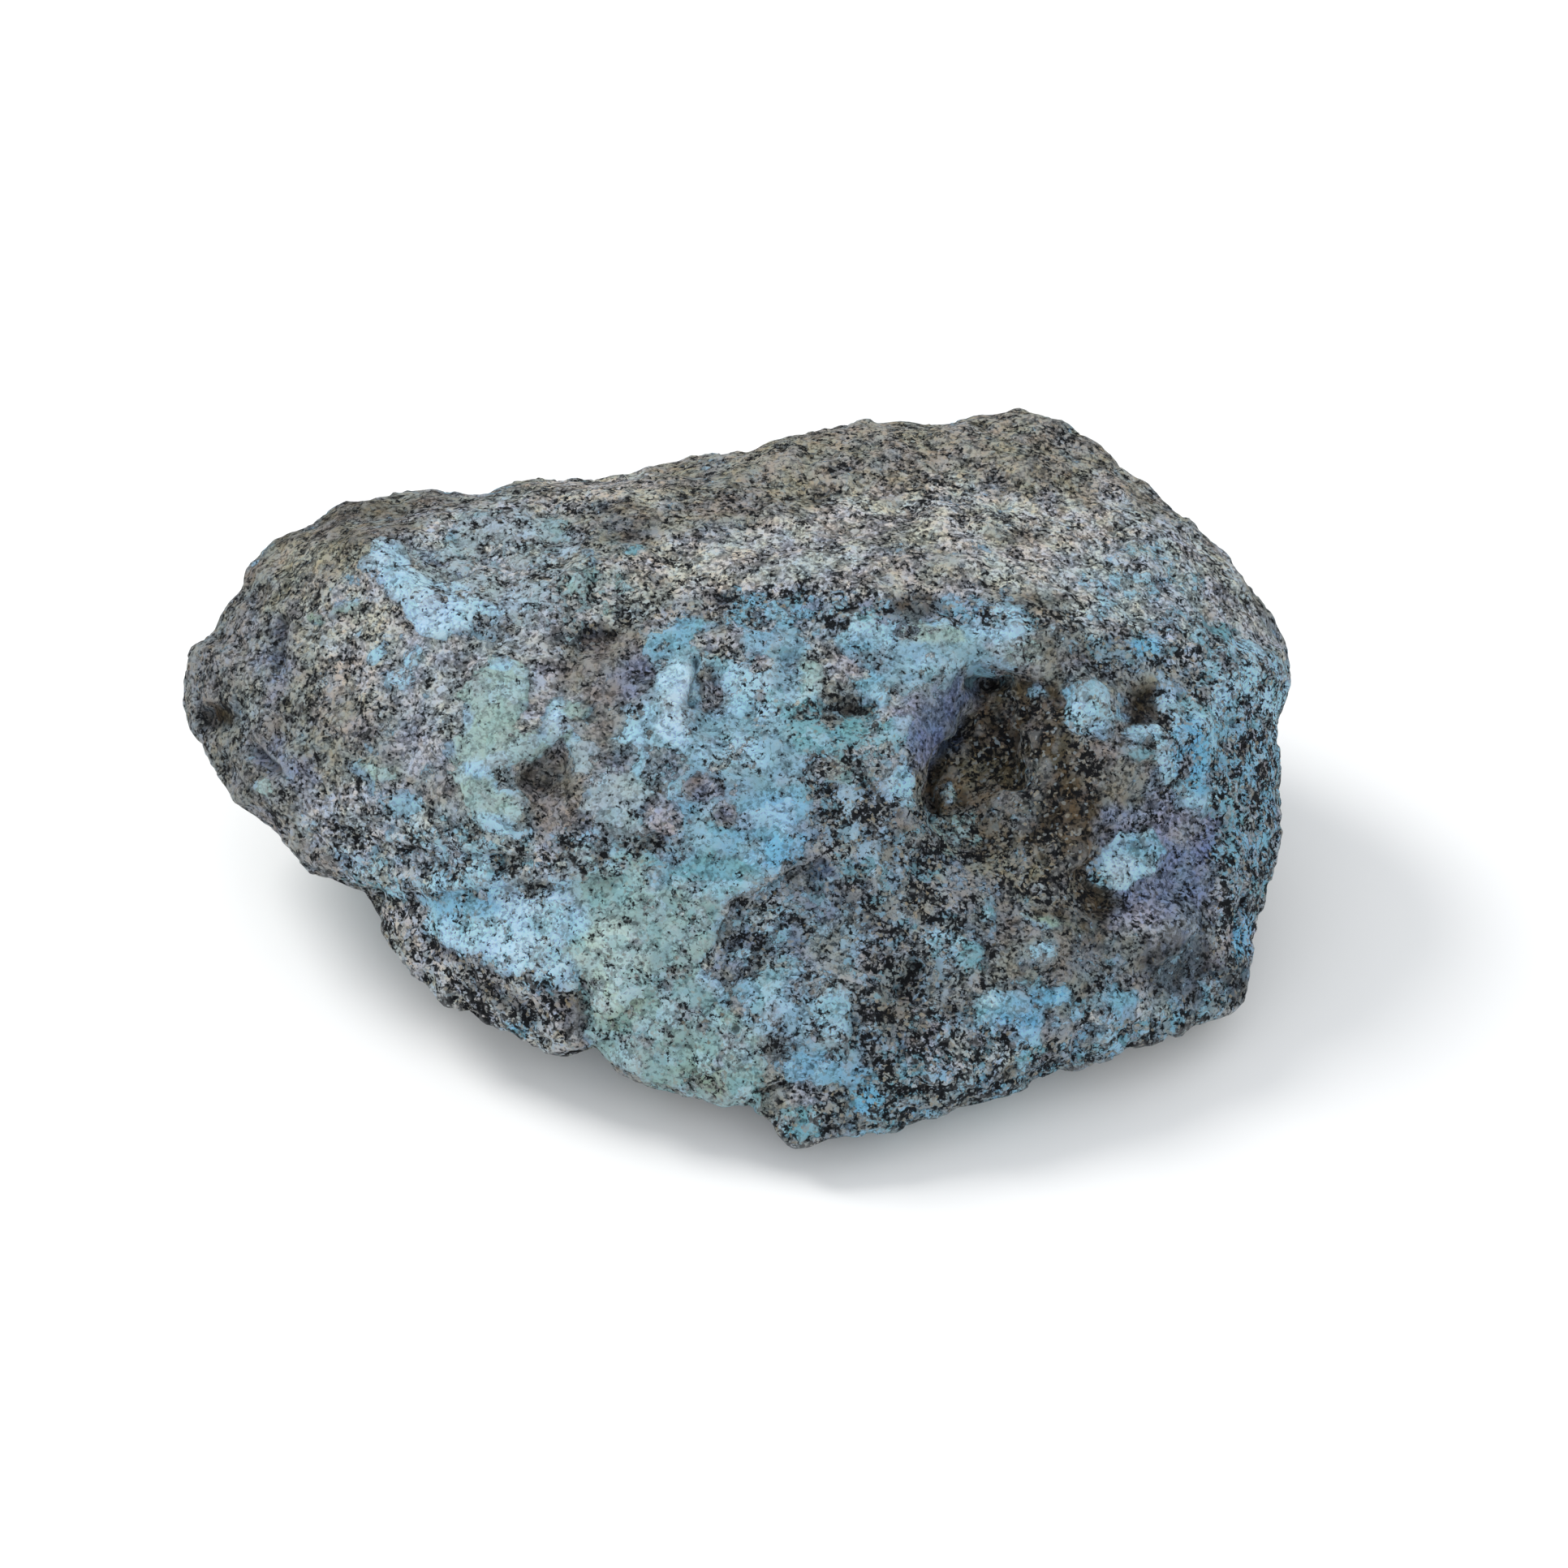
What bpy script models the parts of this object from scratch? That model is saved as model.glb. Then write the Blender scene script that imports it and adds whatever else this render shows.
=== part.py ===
"""Raw turquoise nugget: one rough stone, about 95 mm long, that stands on a flat broken face.

The side that shows is laid out as an eye sees it that looks down on the stone: a place there is a point of the
picture, in picture elements from its upper left corner, and how far it stands toward the eye, in millimetres.
The hidden side is laid out in the stone's own axes: x to the right, y to the back and z up from its base.
"""

from math import cos, radians, sin

import bmesh
import bpy
import numpy as np
from mathutils import Matrix, Vector, noise

MM = 0.001

# Driving dimensions
STONE_LENGTH = 95.4
LENGTH_IN_PICTURE = 1446
EYE_RISE = radians(40)
EYE_DISTANCE = 300.0
EYE_AIM = Vector((0, 0, 22.7))
PICTURE_MIDDLE = 966
BACK_EDGE_LOWEST = 900
BACK_EDGE_DEPTH = 6.0
BACK_EDGE_DRAW = 0.012
FOOT_MIDDLE = (3.5, 9.0)
FOOT_HALF = (21.0, 13.0)
BASE_CUT = 0.45

# The broken rock: how worn its edges are, the size and height of its lumps, and how each layer of finer lumps fades
WEAR = 0.5
WEAR_TIMES = 3
BIG_LUMP = 9.0
BIG_LUMP_HEIGHT = 0.7
SMALL_LUMP = 3.4
SMALL_LUMP_HEIGHT = 0.3
SMALL_LUMP_SHIFT = Vector((7, 3, 1))
HIDDEN_ROUGHER = 0.7
LUMP_FADE = 1.0
LUMP_FINER = 2.0
LUMP_LAYERS = 3
SMALL_LUMP_FADE = 0.9
SMALL_LUMP_FINER = 2.1
SMALL_LUMP_LAYERS = 2

# Where the stone turns from one side to the other: how squarely a place faces the eye, from where a form or a
# roughness starts to where it is whole; 1 faces the eye, 0 is edge on
FORMS_FADE = (0, 0.35)
HIDDEN_FADE = (-0.1, 0.2)
ROUGHER_FADE = (-0.2, 0.2)

# Where lumps start round the flat foot, in shares of its half widths, and above it, in millimetres
FOOT_FADE = (0.9, 1.5)
FOOT_RISE = (0.5, 3.5)

# Shares of a form's own size: where a swell ends, where a step's drop or a crease's floor starts to rise back, how
# wide and how high a step's proud edge is, how much of each end it fades over, and how much of a dent is level
SWELL_END = 1.15
CREASE_LEVEL = 0.05
STEP_LEVEL = 0.25
STEP_EDGE = 0.6
STEP_PROUD = 0.35
STEP_FADE = 0.2
SCOOP_LEVEL = 0.3

# Nets of faces, and the look
BLOCK_VOXEL = 0.75
STONE_VOXEL = 0.7
GAP_ROUNDS = 4
TRIANGLES = 9200
ROCK_COLOUR = (0.30, 0.34, 0.35, 1)
ROCK_ROUGHNESS = 0.85

SCALE = STONE_LENGTH / LENGTH_IN_PICTURE
RIGHT = Vector((1, 0, 0))
UP = Vector((0, sin(EYE_RISE), cos(EYE_RISE)))
TOWARD = Vector((0, -cos(EYE_RISE), sin(EYE_RISE)))

# Corners of the rough block on the side that shows: (picture x, picture y, toward the eye)
BLOCK_EDGE = (
    (228, 870, -14),
    (233, 800, -13.5),
    (300, 708, -12.5),
    (350, 652, -13),
    (415, 620, -14),
    (530, 601, -15),
    (650, 592, -15.3),
    (800, 575, -16),
    (960, 538, -17.5),
    (1100, 517, -18),
    (1255, 503, -18),
    (1350, 550, -17),
    (1450, 635, -15),
    (1540, 735, -13.5),
    (1589, 835, -12),
    (1580, 960, -11.5),
    (1565, 1085, -10),
    (1535, 1235, -6.5),
    (1480, 1265, -4.5),
    (1300, 1325, 0),
    (1080, 1395, 4.5),
    (990, 1418, 5.5),
    (895, 1363, 4.5),
    (760, 1328, 2.5),
    (690, 1303, -0.5),
    (540, 1240, -3.5),
    (470, 1150, -6),
    (385, 1078, -6),
    (300, 1003, -10),
    (245, 925, -13),
)
BLOCK_RIM = (
    (440, 655, -5),
    (580, 770, 0),
    (700, 790, 0.5),
    (880, 738, 0.5),
    (1120, 742, 1),
    (1310, 767, 0.5),
    (1450, 790, -2.5),
    (1000, 640, -6.3),
    (1250, 640, -7.3),
)
BLOCK_FRONT = (
    (340, 850, -5.5),
    (330, 950, -6),
    (450, 900, 0),
    (640, 900, 3.5),
    (950, 900, 4.5),
    (1150, 950, 5),
    (1350, 900, 2.5),
    (1520, 820, -6),
    (1500, 960, -3),
    (1505, 1100, -2.5),
    (1495, 1200, -3),
    (500, 1040, 0.5),
    (640, 1090, 4.5),
    (520, 1130, -1),
    (600, 1220, 0.5),
    (700, 1265, 3),
    (900, 1200, 6.5),
    (1100, 1340, 6.5),
    (1300, 1270, 3.5),
)

# Corners of the hidden side, in the stone's own axes
BLOCK_BACK = (
    (-47, 23, 17),
    (-40, 31, 22),
    (-20, 36, 22),
    (4, 41, 20),
    (24, 41, 21),
    (36, 33, 18),
    (44, 20, 13),
    (-34, 28, 5),
    (-12, 34, 4),
    (14, 37, 4),
    (34, 30, 4),
    (42, 12, 5),
)
BLOCK_LOW = (
    (1, -15, 1.8),
    (-10, -9, 1.6),
    (-21, -1, 1.7),
    (-30, 10, 2.0),
    (-29, 23, 2.0),
    (-10, 30, 1.6),
    (14, 32, 1.6),
    (32, 25, 1.8),
    (38, 10, 1.6),
    (36, -3, 1.5),
    (20, -11, 1.6),
)
BLOCK_BASE = (
    (2, -9.5, 0),
    (-7, -4.5, 0),
    (-15.5, 1.5, 0),
    (-22.5, 10, 0),
    (-21.5, 20, 0),
    (-7, 25.5, 0),
    (12, 27, 0),
    (26, 21.5, 0),
    (30.5, 10, 0),
    (29, 0, 0),
    (17, -6.5, 0),
)

# The stone's outline as the eye sees it, point by point with the clock from the left end
OUTLINE = (
    (228, 870), (229, 835), (235, 797), (262, 782), (275, 750), (301, 728), (303, 700), (320, 680), (345, 658),
    (385, 643), (418, 620), (450, 615), (490, 605), (540, 602), (575, 610), (620, 600), (650, 591), (700, 588),
    (750, 590), (800, 575), (850, 565), (925, 556), (960, 540), (1000, 530), (1050, 523), (1110, 519), (1155, 522),
    (1200, 512), (1250, 504), (1290, 513), (1350, 547), (1380, 569), (1410, 595), (1440, 621), (1470, 641),
    (1500, 671), (1520, 692), (1540, 722), (1556, 748), (1568, 768), (1577, 790), (1589, 815), (1591, 860),
    (1575, 885), (1573, 910), (1577, 950), (1578, 1000), (1574, 1050), (1562, 1100), (1548, 1130), (1541, 1180),
    (1535, 1230), (1518, 1252), (1498, 1264), (1470, 1270), (1430, 1284), (1390, 1300), (1350, 1312), (1300, 1325),
    (1270, 1342), (1200, 1360), (1145, 1378), (1110, 1392), (1077, 1401), (1050, 1403), (1020, 1407), (1000, 1418),
    (975, 1418), (957, 1406), (950, 1391), (925, 1363), (890, 1363), (850, 1354), (800, 1341), (755, 1326),
    (740, 1297), (733, 1289), (724, 1297), (710, 1303), (680, 1305), (650, 1287), (600, 1265), (560, 1242),
    (540, 1234), (520, 1210), (500, 1196), (470, 1160), (467, 1135), (445, 1098), (410, 1087), (380, 1072),
    (363, 1056), (330, 1022), (300, 1002), (280, 988), (264, 963), (249, 927), (233, 900),
)
OUTLINE_MIDDLE = (908, 961)
OUTLINE_REACH = 0.82
OUTLINE_SLOTS = 300

# Swells and dents of the side that shows:
# (picture x, picture y, half width, half height, turn in degrees, toward the eye, share of it that is level)
SWELLS = (
    # the left knob, its crest and the valley behind it
    (330, 860, 110, 130, 0, 1.2, 0.0),
    (500, 722, 105, 26, 40, 1.1, 0.1),
    (600, 672, 170, 62, -4, -2.2, 0.1),
    (345, 672, 95, 20, -28, -0.8, 0.2),
    (262, 885, 26, 20, 0, -0.9, 0.1),
    (337, 790, 16, 34, 10, -0.7, 0.1),
    (328, 945, 12, 30, -35, -0.7, 0.1),
    # the pale crust and the crevice at its lower right
    (612, 850, 42, 58, 10, 0.9, 0.55),
    (590, 925, 55, 34, 20, 0.9, 0.55),
    (665, 895, 46, 24, -35, 0.8, 0.5),
    (600, 985, 60, 42, 30, 0.7, 0.5),
    (678, 955, 44, 26, -30, -1.3, 0.2),
    (850, 965, 80, 70, 10, 0.8, 0.2),
    # the dark step under the tan top and the groove that runs on from it
    (725, 790, 55, 18, -5, -1.3, 0.3),
    (890, 735, 60, 14, 4, -0.8, 0.2),
    (1120, 752, 170, 13, 3, -0.8, 0.3),
    (1040, 690, 230, 34, 2, 0.7, 0.2),
    (1180, 610, 240, 26, 2, -0.8, 0.2),
    # the bright crest with the slit beside it and the brown pit
    (842, 860, 26, 52, 12, 0.9, 0.4),
    (880, 850, 22, 34, 8, -1.3, 0.2),
    (980, 820, 22, 20, 0, -0.8, 0.2),
    (1045, 875, 38, 30, -15, -1.2, 0.3),
    (1050, 930, 75, 28, 0, 0.5, 0.3),
    # the big hollow and what lies round it
    (1095, 900, 40, 60, 0, 0.5, 0.1),
    (1260, 990, 150, 145, -32, -1.9, 0.3),
    (1425, 1045, 100, 125, 20, -2.0, 0.15),
    (1338, 1100, 34, 46, 10, -1.3, 0.4),
    (1425, 1150, 74, 50, -20, 1.3, 0.25),
    (1400, 868, 36, 36, 0, -1.6, 0.3),
    (1345, 870, 40, 46, -10, 0.8, 0.3),
    (1280, 1175, 90, 34, 14, 0.8, 0.2),
    (1465, 925, 50, 70, 10, 0.5, 0.2),
    # the lower part of the front
    (1000, 1250, 110, 80, -10, 0.9, 0.2),
    (1120, 1200, 46, 36, 20, -1.1, 0.2),
    (1190, 1290, 70, 34, -12, 0.5, 0.2),
    (1360, 1245, 70, 26, -12, 0.6, 0.2),
    (905, 1268, 12, 12, 0, -0.7, 0.2),
    (1070, 1345, 70, 26, -14, -0.6, 0.2),
    (1515, 1225, 22, 30, 0, -0.9, 0.2),
    (1500, 1060, 16, 150, 4, -0.7, 0.2),
)

# The crease at the foot of the big hollow's wall, from its lower end up and over to its right end:
# (picture x, picture y, depth in millimetres, width of the wall, width of the floor on the right hand side)
CREASE = (
    (1225, 1100, 0.0, 20, 60),
    (1182, 1054, 1.8, 14, 150),
    (1149, 1012, 3.6, 9, 210),
    (1143, 975, 4.8, 12, 230),
    (1152, 940, 5.2, 28, 235),
    (1176, 908, 5.2, 50, 240),
    (1200, 880, 5.1, 66, 235),
    (1217, 848, 4.7, 56, 210),
    (1250, 838, 3.5, 14, 170),
    (1290, 846, 2.0, 14, 130),
    (1330, 868, 0.4, 16, 90),
)

# Gaps that are dug out at the foot of that wall:
# (picture x, picture y, toward the eye, half width, half height, half depth in millimetres, turn in degrees)
GAPS = (
    (1152, 963, -0.5, 1.1, 3.9, 2.6, 17),
    (1187, 895, -1.7, 1.0, 3.2, 2.4, 38),
    (1220, 849, -1.4, 1.9, 1.0, 2.4, 0),
)

# Steps: along each line the stone drops by so many millimetres on the line's right hand side and rises
# back within the reach; (drop, reach, points of the picture)
STEPS = (
    # the ledges under the left knob
    (0.9, 80, ((365, 1060), (440, 1094), (520, 1102), (600, 1094), (660, 1088), (740, 1082), (805, 1074))),
    (0.7, 60, ((400, 1008), (475, 1036), (540, 1052), (620, 1056), (700, 1050))),
    (0.9, 60, ((735, 1010), (790, 1030), (830, 1025))),
    # the scar, and the edge of the slab beside the notch
    (1.2, 120, ((875, 1200), (885, 1150), (900, 1112), (950, 1086), (985, 1070), (1020, 1056))),
    (0.8, 45, ((722, 1300), (714, 1260), (712, 1215), (700, 1180))),
)

# Dents of the hidden side: (x, y, z in the stone's own axes, radius, depth)
SCOOPS = (
    (-18, 36, 16, 17, 2.2),
    (12, 40, 22, 16, 2.0),
    (34, 30, 12, 13, 1.6),
    (-38, 28, 8, 13, 1.8),
    (2, 36, 6, 12, 1.5),
    (30, 34, 27, 11, 1.2),
    (-28, -6, 4, 12, 1.6),
    (28, -12, 2, 11, 1.4),
    (-2, -20, 1, 8, 1.0),
    (44, 6, 4, 9, 1.2),
)


def seen(x, y, toward):
    """The point of space that the picture shows at x, y, this far toward the eye."""
    shrink = SCALE * (1 - toward / EYE_DISTANCE)
    across = (x - PICTURE_MIDDLE) * shrink
    up = (PICTURE_MIDDLE - y) * shrink
    return EYE_AIM + across * RIGHT + up * UP + toward * TOWARD


def rough_block():
    """The convex block that the stone's corners span."""
    mesh = bpy.data.meshes.new("stone")
    shape = bmesh.new()
    places = [seen(*corner) for corner in BLOCK_EDGE + BLOCK_RIM + BLOCK_FRONT]
    for x, y, toward in BLOCK_EDGE:
        if y < BACK_EDGE_LOWEST:
            x += (OUTLINE_MIDDLE[0] - x) * BACK_EDGE_DRAW
            y += (OUTLINE_MIDDLE[1] - y) * BACK_EDGE_DRAW
            places.append(seen(x, y, toward - BACK_EDGE_DEPTH))
    for place in places + [Vector(corner) for corner in BLOCK_BACK + BLOCK_LOW + BLOCK_BASE]:
        shape.verts.new(place * MM)
    hull = bmesh.ops.convex_hull(shape, input=shape.verts)
    unused = set(hull["geom_interior"]) | set(hull["geom_unused"])
    loose = [item for item in unused if isinstance(item, bmesh.types.BMVert)]
    bmesh.ops.delete(shape, geom=loose, context="VERTS")
    bmesh.ops.recalc_face_normals(shape, faces=shape.faces)
    shape.to_mesh(mesh)
    shape.free()
    stone = bpy.data.objects.new("stone", mesh)
    bpy.context.scene.collection.objects.link(stone)
    return stone


def bake(stone):
    """Turns the object's modifiers into its mesh."""
    graph = bpy.context.evaluated_depsgraph_get()
    made = bpy.data.meshes.new_from_object(stone.evaluated_get(graph))
    stone.modifiers.clear()
    stone.data = made


def remesh(stone, voxel):
    """Lays an even net of faces over the stone."""
    net = stone.modifiers.new("net", "REMESH")
    net.mode = "VOXEL"
    net.voxel_size = voxel * MM
    bake(stone)


def soften(stone):
    """Rounds the stone's edges a little."""
    wear = stone.modifiers.new("wear", "SMOOTH")
    wear.factor = WEAR
    wear.iterations = WEAR_TIMES
    bake(stone)


class Net:
    """The stone's net in millimetres, with the picture point and the facing of each of its vertices."""

    def __init__(self, stone):
        mesh = stone.data
        count = len(mesh.vertices)
        flat = np.empty(count * 3)
        mesh.vertices.foreach_get("co", flat)
        self.places = flat.reshape(-1, 3) / MM
        flat = np.empty(count * 3)
        mesh.vertices.foreach_get("normal", flat)
        self.normals = flat.reshape(-1, 3)
        self.facing = self.normals @ np.array(TOWARD)
        self.look()

    def look(self):
        """Works out the picture point of each vertex."""
        offset = self.places - np.array(EYE_AIM)
        self.toward = offset @ np.array(TOWARD)
        shrink = SCALE * (1 - self.toward / EYE_DISTANCE)
        self.x = PICTURE_MIDDLE + offset @ np.array(RIGHT) / shrink
        self.y = PICTURE_MIDDLE - offset @ np.array(UP) / shrink

    def put(self, x, y, toward):
        """Moves each vertex to a picture point at a distance toward the eye."""
        shrink = (SCALE * (1 - toward / EYE_DISTANCE))[:, None]
        self.places = (
            np.array(EYE_AIM)
            + (x - PICTURE_MIDDLE)[:, None] * shrink * np.array(RIGHT)
            + (PICTURE_MIDDLE - y)[:, None] * shrink * np.array(UP)
            + toward[:, None] * np.array(TOWARD)
        )
        self.look()

    def keep(self, stone):
        """Writes the places back to the stone."""
        stone.data.vertices.foreach_set("co", (self.places * MM).ravel())
        stone.data.update()


def ramp(value, low, high):
    """Goes smoothly from 0 at low to 1 at high."""
    share = np.clip((value - low) / (high - low), 0, 1)
    return share * share * (3 - 2 * share)


def reach_of(corners, angles):
    """How far a ring of picture points lies from the outline's middle, for each angle round it."""
    ring = np.array(corners, float) - np.array(OUTLINE_MIDDLE)
    turn = np.arctan2(ring[:, 1], ring[:, 0])
    reach = np.zeros(len(angles))
    for this in range(len(ring)):
        start, end = ring[this - 1], ring[this]
        swing = around(turn[this] - turn[this - 1])
        into = around(angles - turn[this - 1]) * np.sign(swing)
        cross = start[0] * end[1] - start[1] * end[0]
        across = np.cos(angles) * (end[1] - start[1]) - np.sin(angles) * (end[0] - start[0])
        hit = (into >= 0) & (into <= abs(swing)) & (across != 0)
        reach[hit] = np.maximum(reach[hit], cross / across[hit])
    return reach


def around(angle):
    """The angle brought into the half turn on either side of zero."""
    return (angle + np.pi) % (2 * np.pi) - np.pi


def trim_outline(stone):
    """Draws the net in or out so that the eye sees the stone's outline."""
    net = Net(stone)
    across = net.x - OUTLINE_MIDDLE[0]
    down = net.y - OUTLINE_MIDDLE[1]
    angles = np.arctan2(down, across)
    radius = np.hypot(across, down)
    widest = np.zeros(OUTLINE_SLOTS)
    slots = ((angles / (2 * np.pi) + 1) * OUTLINE_SLOTS).astype(int) % OUTLINE_SLOTS
    np.maximum.at(widest, slots, radius)
    middles = (np.arange(OUTLINE_SLOTS) + 0.5) / OUTLINE_SLOTS * 2 * np.pi
    reached = np.interp(angles, middles, widest, period=2 * np.pi)
    wanted = reach_of(OUTLINE, angles)
    pull = 1 + (wanted / reached - 1) * ramp(radius / reached, OUTLINE_REACH, 1)
    net.put(OUTLINE_MIDDLE[0] + across * pull, OUTLINE_MIDDLE[1] + down * pull, net.toward)
    net.keep(stone)


def swell(net, x, y, half_width, half_height, turn, height, level):
    """How far an oval swell moves each vertex toward the eye."""
    across, down = net.x - x, net.y - y
    turn = radians(turn)
    along = (across * cos(turn) + down * sin(turn)) / half_width
    aside = (down * cos(turn) - across * sin(turn)) / half_height
    return height * (1 - ramp(np.hypot(along, aside), level, SWELL_END))


def beside(net, points):
    """How far each vertex lies from a line of picture points, on which side of it, and next to which point."""
    nearest = np.full(len(net.x), np.inf)
    side = np.zeros(len(net.x))
    way = np.zeros(len(net.x))
    for number, ((ax, ay), (bx, by)) in enumerate(zip(points, points[1:])):
        length = np.hypot(bx - ax, by - ay)
        ux, uy = (bx - ax) / length, (by - ay) / length
        along = np.clip((net.x - ax) * ux + (net.y - ay) * uy, 0, length)
        off_x, off_y = net.x - ax - along * ux, net.y - ay - along * uy
        far = np.hypot(off_x, off_y)
        nearer = far < nearest
        nearest = np.where(nearer, far, nearest)
        side = np.where(nearer, np.sign(ux * (net.y - ay) - uy * (net.x - ax)), side)
        way = np.where(nearer, number + along / length, way)
    return nearest, side, way


def step(net, drop, reach, points):
    """How far a step along a line of picture points moves each vertex toward the eye."""
    nearest, side, way = beside(net, points)
    share = way / (len(points) - 1)
    fade = ramp(share, 0, STEP_FADE) * (1 - ramp(share, 1 - STEP_FADE, 1))
    below = np.where(side > 0, -drop * (1 - ramp(nearest, STEP_LEVEL * reach, reach)), 0)
    above = np.where(side <= 0, STEP_PROUD * drop * (1 - ramp(nearest, 0, STEP_EDGE * reach)), 0)
    return (below + above) * fade


def crease(net):
    """How far the crease of the big hollow moves each vertex toward the eye."""
    nearest, side, way = beside(net, [corner[:2] for corner in CREASE])
    depth, wall, floor = (np.interp(way, range(len(CREASE)), column) for column in list(zip(*CREASE))[2:])
    on_wall = np.clip(1 - nearest / wall, 0, 1)
    on_floor = 1 - ramp(nearest / floor, CREASE_LEVEL, 1)
    return -depth * np.where(side > 0, on_floor, on_wall)


def sculpt(stone):
    """Gives the block the forms of the side that shows."""
    net = Net(stone)
    rise = np.zeros(len(net.x))
    for form in SWELLS:
        rise += swell(net, *form)
    for form in STEPS:
        rise += step(net, *form)
    rise += crease(net)
    rise *= ramp(net.facing, *FORMS_FADE)
    net.put(net.x, net.y, net.toward + rise)
    hidden = 1 - ramp(net.facing, *HIDDEN_FADE)
    for x, y, z, radius, depth in SCOOPS:
        far = np.linalg.norm(net.places - np.array((x, y, z)), axis=1)
        net.places -= net.normals * (depth * hidden * (1 - ramp(far, SCOOP_LEVEL * radius, radius)))[:, None]
    net.keep(stone)


def subtract(stone, shape):
    """Takes a shape away from the stone."""
    bmesh.ops.recalc_face_normals(shape, faces=shape.faces)
    mesh = bpy.data.meshes.new("cutter")
    shape.to_mesh(mesh)
    shape.free()
    cutter = bpy.data.objects.new("cutter", mesh)
    bpy.context.scene.collection.objects.link(cutter)
    cutter.hide_render = True
    cutter.display_type = "WIRE"
    cut = stone.modifiers.new("cut", "BOOLEAN")
    cut.operation = "DIFFERENCE"
    cut.solver = "EXACT"
    cut.object = cutter
    bake(stone)
    bpy.data.objects.remove(cutter)


def dig_gaps(stone):
    """Digs the gaps between the big hollow's wall and its floor."""
    for x, y, toward, half_width, half_height, half_depth, turn in GAPS:
        shape = bmesh.new()
        bmesh.ops.create_icosphere(shape, subdivisions=GAP_ROUNDS, radius=1)
        turn = radians(turn)
        middle = seen(x, y, toward)
        for vert in shape.verts:
            wide, high, deep = vert.co.x * half_width, vert.co.y * half_height, vert.co.z * half_depth
            across = wide * cos(turn) + high * sin(turn)
            up = high * cos(turn) - wide * sin(turn)
            vert.co = (middle + across * RIGHT + up * UP + deep * TOWARD) * MM
        subtract(stone, shape)


def roughen(stone):
    """Lays the lumps of broken rock over the whole stone."""
    net = Net(stone)
    rise = np.empty(len(net.x))
    for index, place in enumerate(net.places):
        spot = Vector(place)
        big = noise.fractal(spot / BIG_LUMP, LUMP_FADE, LUMP_FINER, LUMP_LAYERS)
        finer = spot / SMALL_LUMP + SMALL_LUMP_SHIFT
        small = noise.fractal(finer, SMALL_LUMP_FADE, SMALL_LUMP_FINER, SMALL_LUMP_LAYERS)
        rise[index] = BIG_LUMP_HEIGHT * big + SMALL_LUMP_HEIGHT * small
    rise *= 1 + HIDDEN_ROUGHER * (1 - ramp(net.facing, *ROUGHER_FADE))
    x, y, z = net.places.T
    from_foot = np.hypot((x - FOOT_MIDDLE[0]) / FOOT_HALF[0], (y - FOOT_MIDDLE[1]) / FOOT_HALF[1])
    rise *= np.maximum(ramp(from_foot, *FOOT_FADE), ramp(z, *FOOT_RISE))
    net.places += net.normals * rise[:, None]
    net.keep(stone)


def flatten_base(stone):
    """Cuts the stone's flat face, the one it stands on."""
    shape = bmesh.new()
    bmesh.ops.create_cube(shape, size=2 * STONE_LENGTH * MM)
    bmesh.ops.translate(shape, verts=shape.verts, vec=(0, 0, (BASE_CUT - STONE_LENGTH) * MM))
    subtract(stone, shape)
    shape = bmesh.new()
    shape.from_mesh(stone.data)
    bmesh.ops.triangulate(shape, faces=shape.faces)
    shape.to_mesh(stone.data)
    shape.free()


def set_origin(stone):
    """Puts the origin in the middle of the stone's foot: the middle of its box, at the bottom."""
    places = np.empty(len(stone.data.vertices) * 3)
    stone.data.vertices.foreach_get("co", places)
    low, high = places.reshape(-1, 3).min(axis=0), places.reshape(-1, 3).max(axis=0)
    middle = (low + high) / 2
    stone.data.transform(Matrix.Translation((-middle[0], -middle[1], -low[2])))


def paint(stone):
    """Gives the stone its one plain material, a dull grey blue."""
    rock = bpy.data.materials.new("stone")
    rock.use_nodes = True
    shader = rock.node_tree.nodes["Principled BSDF"]
    shader.inputs["Base Color"].default_value = ROCK_COLOUR
    shader.inputs["Roughness"].default_value = ROCK_ROUGHNESS
    stone.data.materials.append(rock)


def main():
    for old in list(bpy.data.objects):
        bpy.data.objects.remove(old)
    stone = rough_block()
    remesh(stone, BLOCK_VOXEL)
    soften(stone)
    sculpt(stone)
    dig_gaps(stone)
    remesh(stone, STONE_VOXEL)
    roughen(stone)
    trim_outline(stone)
    thin = stone.modifiers.new("thin", "DECIMATE")
    thin.ratio = TRIANGLES / sum(len(face.vertices) - 2 for face in stone.data.polygons)
    bake(stone)
    flatten_base(stone)
    set_origin(stone)
    paint(stone)


main()
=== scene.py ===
"""Raw turquoise nugget: the looks of the stone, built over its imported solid.

Places on the side that shows are points of the picture that the eye sees, in picture elements from its
upper left corner; heights are in millimetres. The hidden side takes its patches from noise with fixed seeds.
"""

from itertools import product
from math import cos, radians, sin

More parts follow.
